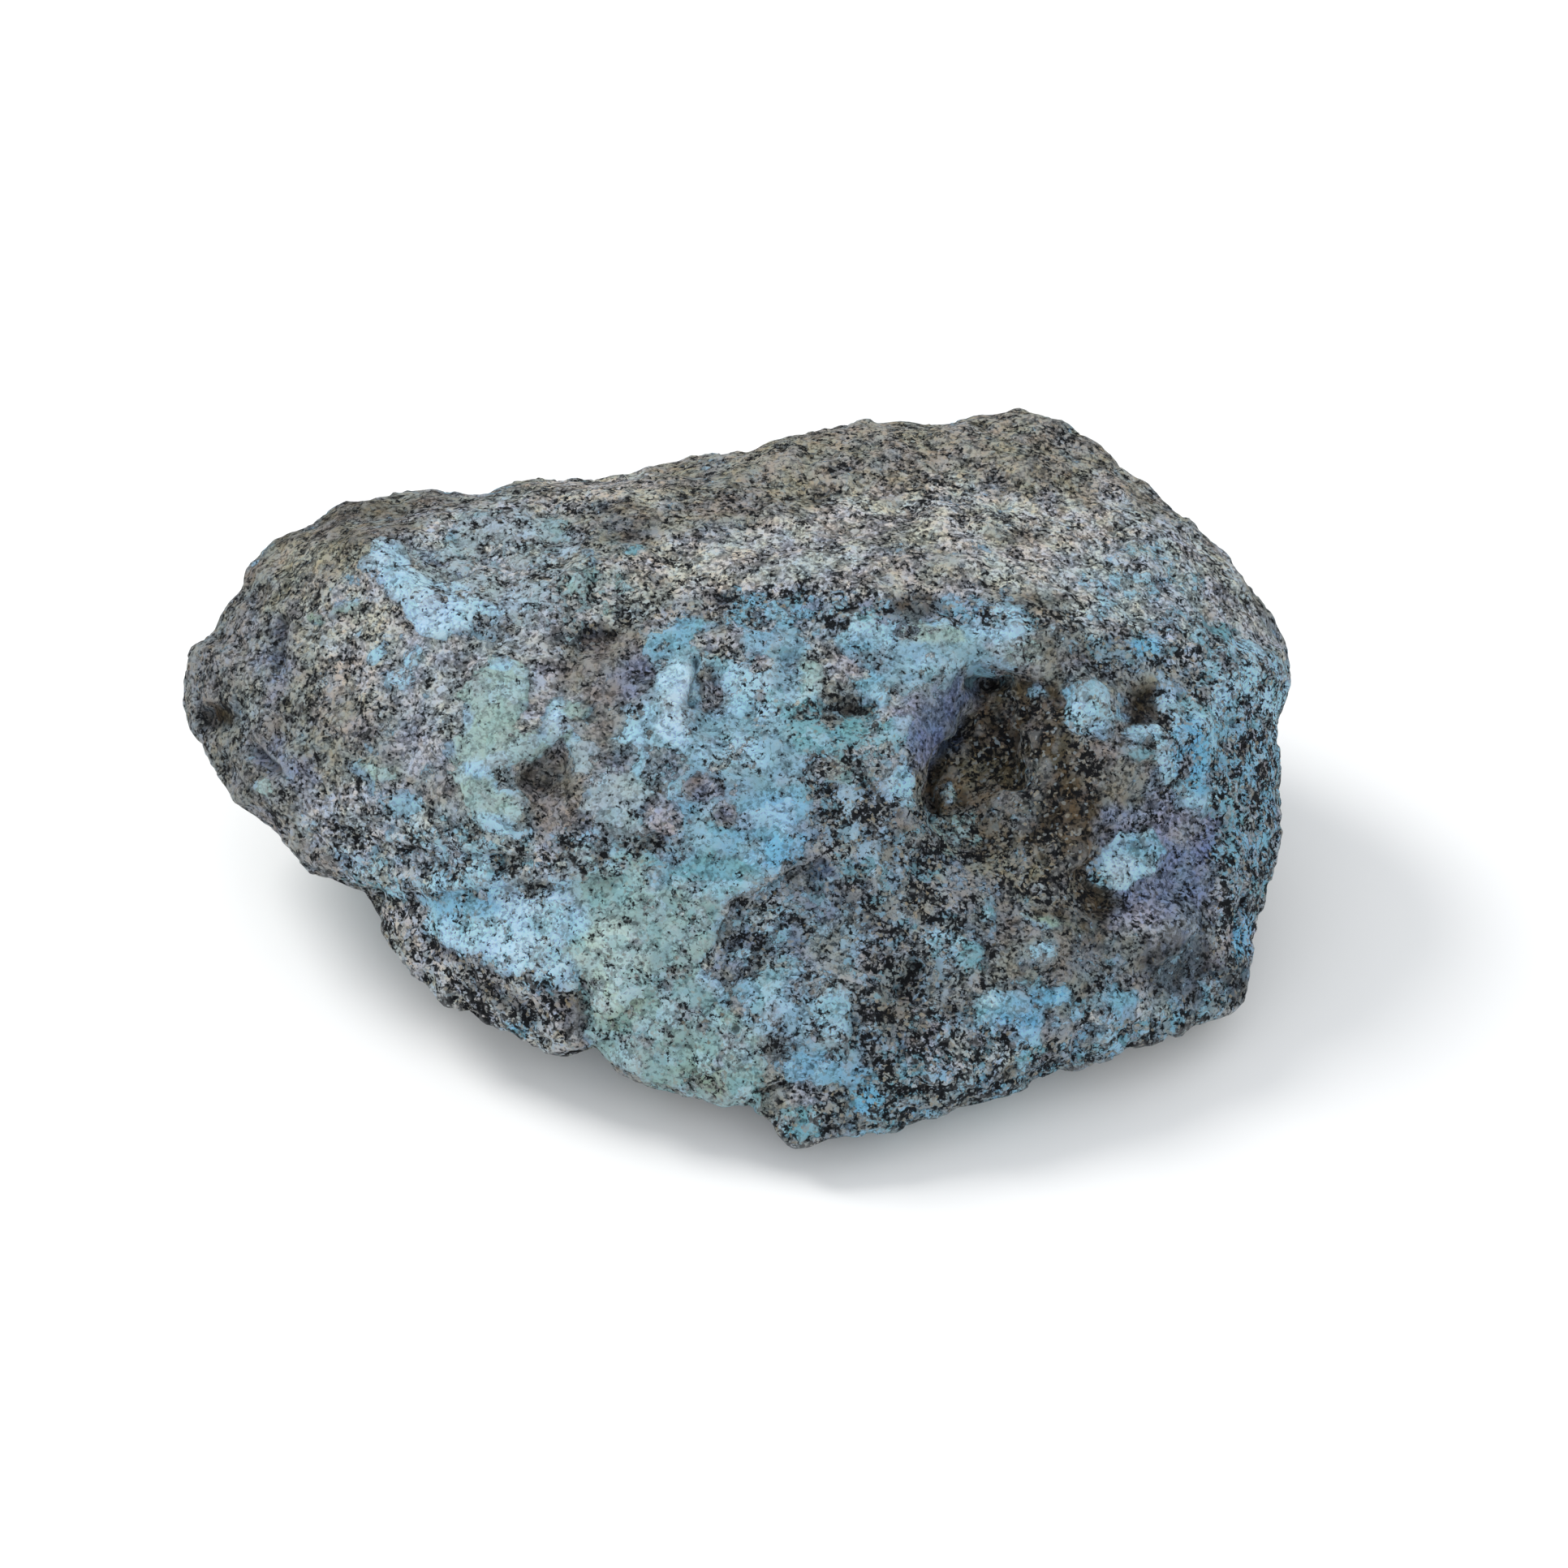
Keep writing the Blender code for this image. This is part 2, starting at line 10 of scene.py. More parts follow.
import bpy
import numpy as np
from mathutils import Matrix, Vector


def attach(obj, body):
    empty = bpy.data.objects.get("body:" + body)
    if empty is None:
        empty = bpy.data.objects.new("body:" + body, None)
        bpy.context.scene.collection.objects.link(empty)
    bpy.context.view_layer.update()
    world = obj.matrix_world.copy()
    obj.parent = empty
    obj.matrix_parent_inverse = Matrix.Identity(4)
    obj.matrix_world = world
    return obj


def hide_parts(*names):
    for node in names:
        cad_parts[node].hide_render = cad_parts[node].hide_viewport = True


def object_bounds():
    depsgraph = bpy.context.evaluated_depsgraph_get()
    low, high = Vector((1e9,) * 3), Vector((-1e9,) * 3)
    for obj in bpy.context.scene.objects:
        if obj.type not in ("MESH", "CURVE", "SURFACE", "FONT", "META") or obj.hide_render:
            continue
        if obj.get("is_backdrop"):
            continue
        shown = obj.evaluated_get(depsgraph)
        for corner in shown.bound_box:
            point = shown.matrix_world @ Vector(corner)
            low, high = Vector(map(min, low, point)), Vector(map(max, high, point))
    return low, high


bl_info = {
    "name": "Raw turquoise nugget",
    "version": (1, 0, 0),
    "blender": (4, 5, 0),
    "location": "View3D > Sidebar > Nugget",
    "description": "Builds a rough lump of raw turquoise in its host rock over its packed solid",
    "category": "Add Mesh",
}

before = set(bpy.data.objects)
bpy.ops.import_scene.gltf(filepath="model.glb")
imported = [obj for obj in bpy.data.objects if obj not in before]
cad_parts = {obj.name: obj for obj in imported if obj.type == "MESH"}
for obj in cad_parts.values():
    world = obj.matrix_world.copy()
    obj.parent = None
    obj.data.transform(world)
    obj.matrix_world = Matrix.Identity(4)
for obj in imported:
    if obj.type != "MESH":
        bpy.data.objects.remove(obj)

MM = 0.001

# The eye that the picture is seen with
EYE_RISE = radians(40)
EYE_DISTANCE = 300.0
EYE_AIM = np.array((4.137, -8.458, 22.25))
PICTURE = 1932
PICTURE_MIDDLE = 966
STONE_LENGTH = 95.4
LENGTH_IN_PICTURE = 1446
ELEMENT = STONE_LENGTH / LENGTH_IN_PICTURE
RIGHT = np.array((1, 0, 0))
UP = np.array((0, sin(EYE_RISE), cos(EYE_RISE)))
TOWARD = np.array((0, -cos(EYE_RISE), sin(EYE_RISE)))

# Colours of the rock and of the crusts that grew on it: red, green and blue out of 255
COLOURS = {
    "tan": (126, 123, 114),
    "pale tan": (158, 158, 154),
    "olive": (122, 119, 106),
    "grey": (118, 120, 119),
    "pale grey": (150, 155, 158),
    "grey brown": (112, 110, 107),
    "brown": (88, 80, 67),
    "dark brown": (58, 52, 42),
    "lilac grey": (136, 138, 146),
    "violet grey": (102, 112, 132),
    "dark": (48, 50, 54),
    "black": (16, 16, 18),
    "dark blue": (50, 60, 78),
    "slate": (90, 105, 136),
    "sky": (122, 169, 193),
    "grey sky": (130, 165, 183),
    "bright blue": (112, 170, 202),
    "pale blue": (154, 192, 212),
    "ice": (174, 206, 226),
    "teal": (112, 160, 172),
    "pale green": (150, 174, 172),
    "sea green": (140, 168, 169),
    "dull blue": (128, 154, 174),
    "frost": (158, 174, 182),
    "light green": (172, 194, 190),
    "moss": (140, 160, 148),
}

# How much brighter the stone is than its colours, under a light that makes the floor white
STONE_SHADE = 1.35

# Tints, and dark and pale colours laid on the material, in the light's own numbers; some are painted shade,
# a painted shadow and painted glints
COOL = (0.96, 1.0, 1.07, 1)
WARM = (1.035, 1.0, 0.94, 1)
ROSY = (1.02, 0.975, 1.02, 1)
MOSSY = (0.985, 1.025, 0.97, 1)
COOL_GRAIN = (0.9, 1.0, 1.13, 1)
WARM_GRAIN = (1.1, 1.0, 0.88, 1)
# Painted shadow along the edges of the crusts
CRUST_EDGE_SHADOW = (0.02, 0.022, 0.026, 1)
# Black of the gaps between grains: partly black specks of the rock, partly painted shade
GAP_BLACK_AND_SHADE = (0.008, 0.009, 0.011, 1)
# Painted shade in hollows and deep places, with some dirt
DIRT_AND_HOLLOW_SHADE = (0.016, 0.016, 0.017, 1)
WORN = (0.5, 0.52, 0.53, 1)
# Painted glints on the grains
WARM_PAINTED_GLINT = (0.36, 0.3, 0.2, 1)
COOL_PAINTED_GLINT = (0.3, 0.38, 0.44, 1)

# Sizes of the grains and noises of the material, from its finest crumb to its stains, in metres
CRUMB = 0.00026
DUST = 0.0003
GRAIN = 0.00048
SPECK = 0.00055
CREASE = 0.00085
BLOTCH = 0.0013
FLAKE = 0.0016
WARMTH = 0.0018
MOTTLE = 0.0028
MOSS = 0.0034
STAIN = 0.0056

# Sizes of the noises that bend grains and creases out of their plain shapes, and how far, in metres
FINE_SWAY = 0.0005
WIDE_SWAY = 0.001
CRUMB_BEND = 0.00016
GRAIN_BEND = 0.00028
CREASE_BEND = 0.0005
FLAKE_BEND = 0.0018

# How many times shorter the grains are along each axis, and the height of the bump in metres
GRAIN_SQUASH = (1.0, 1.1, 1.0)
BUMP = 0.0003

# The place that the lights point at, in metres, and the width of the camera's sensor in millimetres
LIT_PLACE = (0, 0, 0.015)
SENSOR = 36

# How squarely a place faces the eye, from where the picture's colours or its relief start to where they
# are whole; 1 faces the eye, 0 is edge on
COLOURS_FADE = (0.08, 0.35)
RELIEF_FADE = (0, 0.3)

# How far noise moves the edges of zones and spots, in picture elements, and the size of its lumps in
# millimetres
ZONE_WANDER = 11
SPOT_WANDER = 10
WANDER_SIZE = 2.4

# Shares of a form's own size: where a spot's edge fades, how much of each end a step fades over, where the
# floors of steps, cracks and pits start to rise, where a pit ends, and how ragged cracks and pits are
SPOT_EDGE = (0.55, 1.4)
STEP_FADE = 0.15
STEP_LEVEL = 0.2
CRACK_LEVEL = 0.1
CRACK_RAGGED = 0.5
PIT_LEVEL = 0.3
PIT_END = 1.2
PIT_RAGGED = 0.35

# How much wider than its floor a crack is, in picture elements, how surely crust covers the ground where its
# border lies, and how deep the holes among the grains are, in heights of a grain
CRACK_EDGE = 3
CRUST_BORDER = (0.44, 0.56)
HOLE_DEPTH = 1.5

# Zones of the rock: (colour, how much of it, width of its soft edge, corners in the picture); some dark and
# bluish zones are painted shade, marked where they stand
ROCK_ZONES = (
    ("tan", 1.0, 24, ((540, 560), (800, 520), (1250, 460), (1360, 490), (1560, 720), (1490, 730),
     (1400, 664), (1250, 640), (1100, 625), (950, 632), (850, 650), (770, 640), (660, 612))),
    ("pale tan", 1.0, 26, ((690, 705), (760, 660), (850, 660), (940, 645), (1020, 615), (1100, 596),
     (1250, 596), (1400, 630), (1480, 700), (1560, 800), (1310, 768), (1120, 735), (1000, 728), (880, 728),
     (820, 732), (760, 762), (700, 766))),
    ("pale grey", 0.8, 40, ((1270, 690), (1400, 680), (1500, 740), (1560, 800), (1470, 800), (1320, 760))),
    ("pale grey", 0.95, 40, ((1360, 590), (1480, 640), (1570, 760), (1600, 840), (1500, 810), (1400, 700))),
    ("grey", 1.0, 26, ((200, 900), (215, 780), (300, 690), (440, 640), (500, 700), (580, 790), (560, 900),
     (520, 970), (430, 1050), (330, 1030), (240, 960))),
    ("brown", 0.7, 14, ((290, 735), (296, 680), (380, 620), (470, 600), (475, 640), (430, 652), (350, 684),
     (310, 712))),
    ("dark brown", 0.3, 24, ((215, 900), (225, 780), (300, 700), (330, 720), (285, 800), (310, 920),
     (330, 1000), (280, 990))),
    ("pale tan", 0.75, 40, ((365, 690), (460, 690), (530, 760), (500, 860), (390, 850))),
    ("olive", 0.75, 24, ((340, 690), (440, 645), (460, 690), (440, 725), (390, 740), (340, 740))),
    ("brown", 0.55, 30, ((450, 610), (560, 600), (600, 640), (540, 670), (470, 650))),
    ("pale grey", 0.7, 30, ((930, 660), (1090, 650), (1090, 722), (930, 728))),
    ("grey brown", 0.45, 40, ((1090, 670), (1180, 670), (1190, 730), (1090, 730))),
    ("grey brown", 0.5, 40, ((850, 590), (950, 590), (950, 650), (850, 660))),
    ("dark brown", 0.2, 30, ((380, 850), (470, 860), (480, 940), (380, 940), (290, 1000), (300, 900))),
    ("pale grey", 1.0, 26, ((470, 660), (560, 625), (650, 610), (710, 660), (730, 760), (640, 790),
     (560, 740))),
    ("olive", 0.5, 24, ((680, 640), (760, 650), (830, 730), (760, 765), (690, 760))),
    ("pale tan", 0.6, 30, ((640, 570), (800, 560), (830, 620), (700, 650))),
    ("tan", 0.5, 40, ((390, 840), (480, 830), (530, 870), (480, 970), (390, 970))),
    ("pale grey", 0.9, 26, ((370, 960), (500, 960), (560, 1030), (440, 1070), (370, 1030))),
    ("pale grey", 0.85, 30, ((560, 770), (690, 770), (700, 860), (660, 900), (560, 960), (490, 930),
     (500, 800))),
    ("lilac grey", 0.3, 30, ((560, 770), (690, 770), (700, 860), (660, 900), (560, 960), (490, 930),
     (500, 800))),
    ("grey brown", 0.9, 26, ((690, 790), (830, 770), (830, 1010), (800, 1070), (640, 1080), (640, 960),
     (700, 900))),
    ("pale grey", 0.7, 30, ((800, 760), (1100, 760), (1290, 760), (1290, 820), (1110, 850), (1110, 950),
     (1000, 980), (860, 1080), (830, 960))),
    ("pale grey", 0.9, 24, ((560, 1110), (740, 1095), (900, 1110), (920, 1180), (760, 1240), (600, 1185))),
    ("pale grey", 0.6, 30, ((700, 690), (790, 700), (800, 760), (700, 765))),
    ("violet grey", 0.5, 30, ((740, 930), (860, 900), (900, 1060), (700, 1090))),
    ("pale grey", 0.8, 26, ((420, 1030), (640, 1030), (820, 1030), (820, 1085), (640, 1105), (500, 1110),
     (430, 1090))),
    ("pale grey", 0.6, 18, ((470, 1110), (520, 1120), (545, 1170), (600, 1205), (715, 1205), (715, 1320),
     (640, 1310), (500, 1230))),
    ("grey", 1.0, 30, ((1010, 950), (1140, 960), (1200, 1050), (1330, 1150), (1300, 1260), (1060, 1380),
     (1000, 1200))),
    ("violet grey", 0.7, 16, ((905, 1115), (955, 1088), (1020, 1060), (1040, 1110), (980, 1190),
     (885, 1195))),
    ("pale grey", 0.7, 16, ((925, 1110), (960, 1085), (990, 1090), (975, 1130), (930, 1150))),
    ("violet grey", 0.7, 24, ((930, 734), (1090, 732), (1280, 752), (1280, 775), (1040, 775), (930, 770))),
    # painted shade: the slope into the hollow, turned from the light and bluish
    ("slate", 0.85, 26, ((1108, 862), (1150, 845), (1215, 832), (1214, 852), (1196, 882), (1165, 918),
     (1146, 955), (1128, 960), (1112, 910))),
    ("brown", 1.0, 16, ((1215, 835), (1300, 850), (1345, 900), (1350, 1010), (1360, 1130), (1340, 1170),
     (1260, 1110), (1190, 1040), (1140, 1010), (1142, 950), (1185, 900))),
    # partly painted shadow under the hollow's upper lip, partly brown rock
    ("dark brown", 0.6, 20, ((1212, 846), (1260, 838), (1310, 870), (1300, 930), (1230, 960), (1180, 1000),
     (1170, 960))),
    ("grey brown", 0.5, 24, ((1180, 990), (1260, 990), (1340, 1060), (1330, 1120), (1250, 1095),
     (1195, 1060))),
    ("dark brown", 0.75, 40, ((1230, 900), (1330, 910), (1360, 1000), (1360, 1120), (1290, 1110),
     (1250, 1030))),
    # partly painted shade: the wall right of the hollow turns from the light
    ("violet grey", 1.0, 44, ((1365, 985), (1440, 940), (1500, 970), (1505, 1120), (1460, 1195),
     (1370, 1150))),
    ("slate", 0.35, 30, ((1400, 1010), (1490, 990), (1495, 1100), (1440, 1120), (1400, 1100))),
    ("grey brown", 0.9, 18, ((1310, 930), (1370, 925), (1430, 935), (1400, 985), (1340, 985))),
    # partly painted shade where the lower right turns under
    ("dark", 0.9, 40, ((1400, 1165), (1490, 1165), (1500, 1215), (1440, 1235), (1390, 1205))),
    ("dark brown", 0.65, 30, ((1010, 1070), (1090, 1080), (1110, 1160), (1020, 1160))),
    ("dark brown", 0.35, 30, ((1180, 1090), (1300, 1110), (1450, 1190), (1450, 1250), (1290, 1240),
     (1180, 1200))),
    ("lilac grey", 0.7, 16, ((1510, 850), (1610, 800), (1600, 1260), (1500, 1290), (1490, 1180),
     (1508, 1000))),
    # partly painted shade where the lower right turns under
    ("dark", 0.9, 14, ((1495, 1195), (1550, 1190), (1545, 1290), (1480, 1290))),
    ("pale grey", 0.9, 22, ((1040, 1380), (1270, 1260), (1500, 1190), (1530, 1290), (1300, 1350),
     (1060, 1430), (960, 1430))),
    # partly painted shade along the bottom edge, where the stone turns under
    ("dark", 0.6, 16, ((1000, 1385), (1150, 1355), (1300, 1290), (1500, 1230), (1500, 1290), (1100, 1420),
     (1000, 1430))),
)

# Spots of the rock: (colour, how much of it, picture x and y, half width, half height, turn in degrees);
# some dark spots are painted shade, marked where they stand
ROCK_SPOTS = (
    ("violet grey", 0.8, 535, 690, 50, 12, 30),
    ("brown", 0.6, 440, 665, 32, 12, -10),
    # painted shade in the pit
    ("dark brown", 1.0, 266, 884, 24, 18, 0),
    # painted shade in the crack
    ("dark", 0.9, 343, 780, 7, 20, 0),
    ("violet grey", 0.7, 340, 820, 20, 46, 0),
    # painted shade in the crack
    ("dark", 0.8, 326, 940, 10, 18, -35),
    ("violet grey", 0.6, 350, 945, 50, 22, 30),
    ("lilac grey", 0.3, 470, 910, 50, 30, 20),
    # painted shadow under the rim of the top
    ("dark", 0.9, 715, 784, 44, 10, -4),
    ("dark brown", 0.6, 780, 650, 45, 24, 10),
    ("dark brown", 0.5, 668, 965, 36, 20, 0),
    ("violet grey", 0.9, 785, 832, 28, 24, 0),
    ("lilac grey", 0.8, 890, 788, 30, 12, 0),
    ("lilac grey", 0.9, 932, 815, 12, 10, 0),
    ("lilac grey", 0.8, 815, 1008, 26, 22, 0),
    ("violet grey", 0.8, 868, 972, 22, 18, 30),
    ("violet grey", 0.8, 895, 1005, 14, 10, 0),
    ("lilac grey", 0.7, 1030, 815, 30, 14, 30),
    ("violet grey", 0.8, 1190, 830, 30, 8, 0),
    ("lilac grey", 0.7, 1130, 866, 26, 16, -20),
    ("lilac grey", 0.6, 1196, 870, 14, 10, -30),
    # painted shade at the foot of the slope into the hollow
    ("dark blue", 0.7, 1170, 912, 16, 22, 35),
    ("lilac grey", 0.8, 1325, 812, 30, 14, 0),
    # painted shade: black in the deep cleft at the top of the hollow
    ("black", 1.0, 1222, 845, 22, 9, -6),
    ("brown", 0.7, 860, 950, 16, 26, 20),
    ("brown", 0.6, 770, 1050, 60, 16, 0),
    # painted shadow under the rim of the top
    ("dark", 0.9, 896, 738, 26, 9, 4),
    ("dark brown", 0.9, 1125, 746, 44, 13, 4),
    ("dark brown", 0.6, 1285, 745, 34, 14, 10),
    ("brown", 0.7, 1310, 790, 40, 28, 0),
    ("brown", 0.5, 1250, 660, 40, 16, 0),
    # painted shade on the crest's side turned from the light, in its crack
    ("dark brown", 0.9, 862, 845, 8, 20, 8),
    ("lilac grey", 0.9, 880, 848, 12, 18, 0),
    ("violet grey", 0.9, 974, 812, 18, 16, 0),
    ("dark brown", 0.8, 1046, 882, 30, 22, -15),
    ("brown", 0.7, 1100, 1030, 24, 40, 20),
    ("brown", 0.6, 1110, 1100, 20, 26, 0),
    ("dark blue", 0.9, 1008, 1076, 16, 22, 10),
    ("lilac grey", 0.9, 972, 1095, 20, 14, -20),
    ("black", 0.7, 967, 1152, 14, 12, 0),
    ("dark", 0.8, 940, 1170, 20, 14, -40),
    ("dark brown", 0.9, 1128, 1205, 30, 26, 0),
    ("brown", 0.7, 1105, 1255, 40, 50, 20),
    ("brown", 0.6, 1165, 1270, 30, 30, 0),
    ("dark brown", 1.0, 1410, 876, 27, 36, 10),
    ("olive", 0.9, 1420, 820, 14, 20, 0),
    ("pale grey", 0.9, 1345, 880, 30, 34, 0),
    # painted shade in the pit
    ("dark brown", 0.9, 1356, 1118, 24, 26, 20),
    ("olive", 0.6, 1250, 1080, 70, 34, 15),
    ("olive", 0.4, 1205, 960, 26, 30, 0),
    ("lilac grey", 0.6, 1410, 1140, 30, 24, -20),
    ("lilac grey", 0.6, 1440, 1010, 50, 30, 0),
    ("pale grey", 0.8, 1500, 860, 40, 40, 0),
    ("lilac grey", 0.7, 1160, 1290, 50, 30, -20),
    ("lilac grey", 0.5, 1390, 1215, 50, 16, -12),
    ("lilac grey", 0.8, 1010, 1288, 24, 12, 0),
    ("dark brown", 0.5, 1290, 1270, 40, 20, -20),
    ("pale grey", 0.6, 975, 1345, 40, 24, 0),
    ("pale grey", 0.4, 1170, 1190, 70, 40, 0),
    ("brown", 0.8, 690, 1220, 22, 18, 0),
    # partly painted shade where the slab turns under
    ("dark", 0.7, 572, 1178, 34, 12, 10),
    ("dark", 0.7, 625, 1232, 50, 14, 28),
    ("dark", 0.6, 702, 1250, 16, 30, 0),
    ("lilac grey", 0.8, 698, 1188, 16, 12, 0),
    ("brown", 0.7, 945, 1358, 22, 20, 30),
    ("brown", 0.5, 1260, 740, 60, 14, 0),
    # partly painted shade where the lower right turns under
    ("dark", 0.95, 1460, 1200, 54, 40, 10),
    ("pale grey", 0.8, 950, 1110, 40, 30, 0),
    ("pale grey", 0.7, 1450, 800, 50, 30, 0),
)

# Crusts of turquoise: (colour, share of the ground they cover, width of their soft edge, corners)
CRUST_ZONES = (
    ("frost", 0.5, 40, ((500, 690), (570, 635), (690, 635), (740, 700), (720, 780), (560, 790))),
    ("dull blue", 0.2, 40, ((470, 790), (620, 780), (640, 1060), (480, 1040), (430, 960))),
    ("ice", 1.05, 10, ((452, 668), (484, 670), (508, 696), (534, 718), (580, 732), (600, 752), (580, 778),
     (542, 794), (508, 772), (492, 742), (472, 718), (456, 696))),
    ("pale blue", 0.36, 40, ((1270, 720), (1430, 670), (1560, 800), (1470, 810), (1300, 780))),
    ("pale blue", 0.4, 30, ((700, 900), (830, 880), (830, 1090), (640, 1090), (520, 1100), (430, 1080),
     (500, 1030))),
    ("pale blue", 0.97, 22, ((505, 1100), (640, 1090), (720, 1085), (720, 1220), (640, 1215), (560, 1170))),
    ("sea green", 1.0, 26, ((700, 1085), (810, 1070), (890, 1100), (870, 1200), (960, 1300), (930, 1390),
     (720, 1300))),
    ("grey sky", 0.85, 30, ((780, 765), (900, 765), (1010, 800), (1010, 880), (1080, 950), (1050, 1050),
     (900, 1110), (800, 1090), (830, 960))),
    ("grey sky", 0.95, 24, ((1010, 755), (1120, 765), (1200, 740), (1290, 750), (1290, 815), (1200, 828),
     (1060, 860))),
    ("teal", 1.0, 26, ((980, 880), (1110, 885), (1120, 960), (1040, 980), (990, 940))),
    ("pale blue", 0.3, 26, ((900, 1120), (950, 1085), (1020, 1060), (1040, 1110), (980, 1190), (885, 1195))),
    ("sky", 0.4, 20, ((880, 728), (1090, 725), (1200, 740), (1200, 760), (1040, 780), (900, 785))),
    ("dull blue", 0.38, 40, ((1000, 930), (1160, 930), (1220, 1100), (1300, 1200), (1200, 1400),
     (1000, 1430), (980, 1200))),
    ("grey sky", 0.7, 24, ((895, 1175), (960, 1165), (1050, 1185), (1060, 1310), (980, 1330), (930, 1260))),
    ("pale blue", 0.84, 24, ((1410, 780), (1505, 800), (1505, 1000), (1470, 1000), (1430, 950))),
    ("sea green", 0.5, 20, ((1150, 1004), (1190, 1006), (1210, 1034), (1180, 1044), (1150, 1026))),
    ("dull blue", 0.4, 24, ((1300, 780), (1500, 790), (1500, 850), (1300, 840))),
    ("sky", 0.56, 22, ((1500, 830), (1600, 800), (1585, 1150), (1505, 1150))),
    ("pale blue", 0.7, 30, ((1480, 770), (1560, 780), (1610, 850), (1570, 900), (1480, 885))),
    ("sky", 0.36, 30, ((1060, 1330), (1300, 1270), (1520, 1200), (1500, 1270), (1060, 1400))),
    ("dull blue", 0.16, 30, ((1180, 1130), (1450, 1150), (1480, 1240), (1200, 1230))),
    ("grey sky", 0.22, 20, ((1190, 1205), (1290, 1200), (1390, 1215), (1380, 1260), (1270, 1300),
     (1190, 1290))),
    ("pale green", 1.05, 10, ((600, 810), (640, 812), (650, 840), (644, 880), (652, 900), (674, 886),
     (682, 862), (698, 866), (696, 904), (670, 932), (640, 942), (600, 946), (560, 936), (544, 908),
     (575, 896), (585, 870), (562, 850), (575, 828))),
    ("pale green", 1.05, 10, ((550, 940), (575, 944), (604, 944), (612, 972), (646, 982), (640, 1010),
     (600, 1012), (568, 990))),
    ("dull blue", -0.2, 14, ((642, 950), (690, 928), (724, 950), (712, 1010), (664, 1024), (646, 990))),
    ("frost", 0.8, 10, ((716, 975), (750, 952), (794, 960), (802, 990), (790, 1036), (762, 1042),
     (736, 1016), (710, 1002))),
    ("frost", 0.8, 10, ((706, 922), (740, 908), (750, 950), (726, 968), (700, 952))),
    ("pale blue", 0.95, 10, ((1308, 845), (1362, 842), (1374, 862), (1386, 882), (1378, 906), (1340, 906),
     (1320, 888))),
    ("pale blue", 1.5, 8, ((1342, 1082), (1358, 1044), (1384, 1024), (1432, 1028), (1444, 1054),
     (1420, 1072), (1404, 1088), (1388, 1104), (1360, 1098))),
    ("sky", 1.0, 10, ((1198, 1232), (1225, 1214), (1262, 1225), (1286, 1240), (1280, 1280), (1286, 1302),
     (1255, 1305), (1240, 1280), (1216, 1268))),
    ("sky", 0.85, 10, ((1308, 1240), (1330, 1222), (1375, 1218), (1398, 1232), (1385, 1252), (1350, 1246),
     (1324, 1264))),
    ("dull blue", -0.2, 22, ((1126, 990), (1120, 940), (1124, 905), (1180, 890), (1204, 842), (1262, 834),
     (1310, 860), (1300, 900), (1240, 900), (1190, 960), (1164, 1012), (1145, 1014))),
)

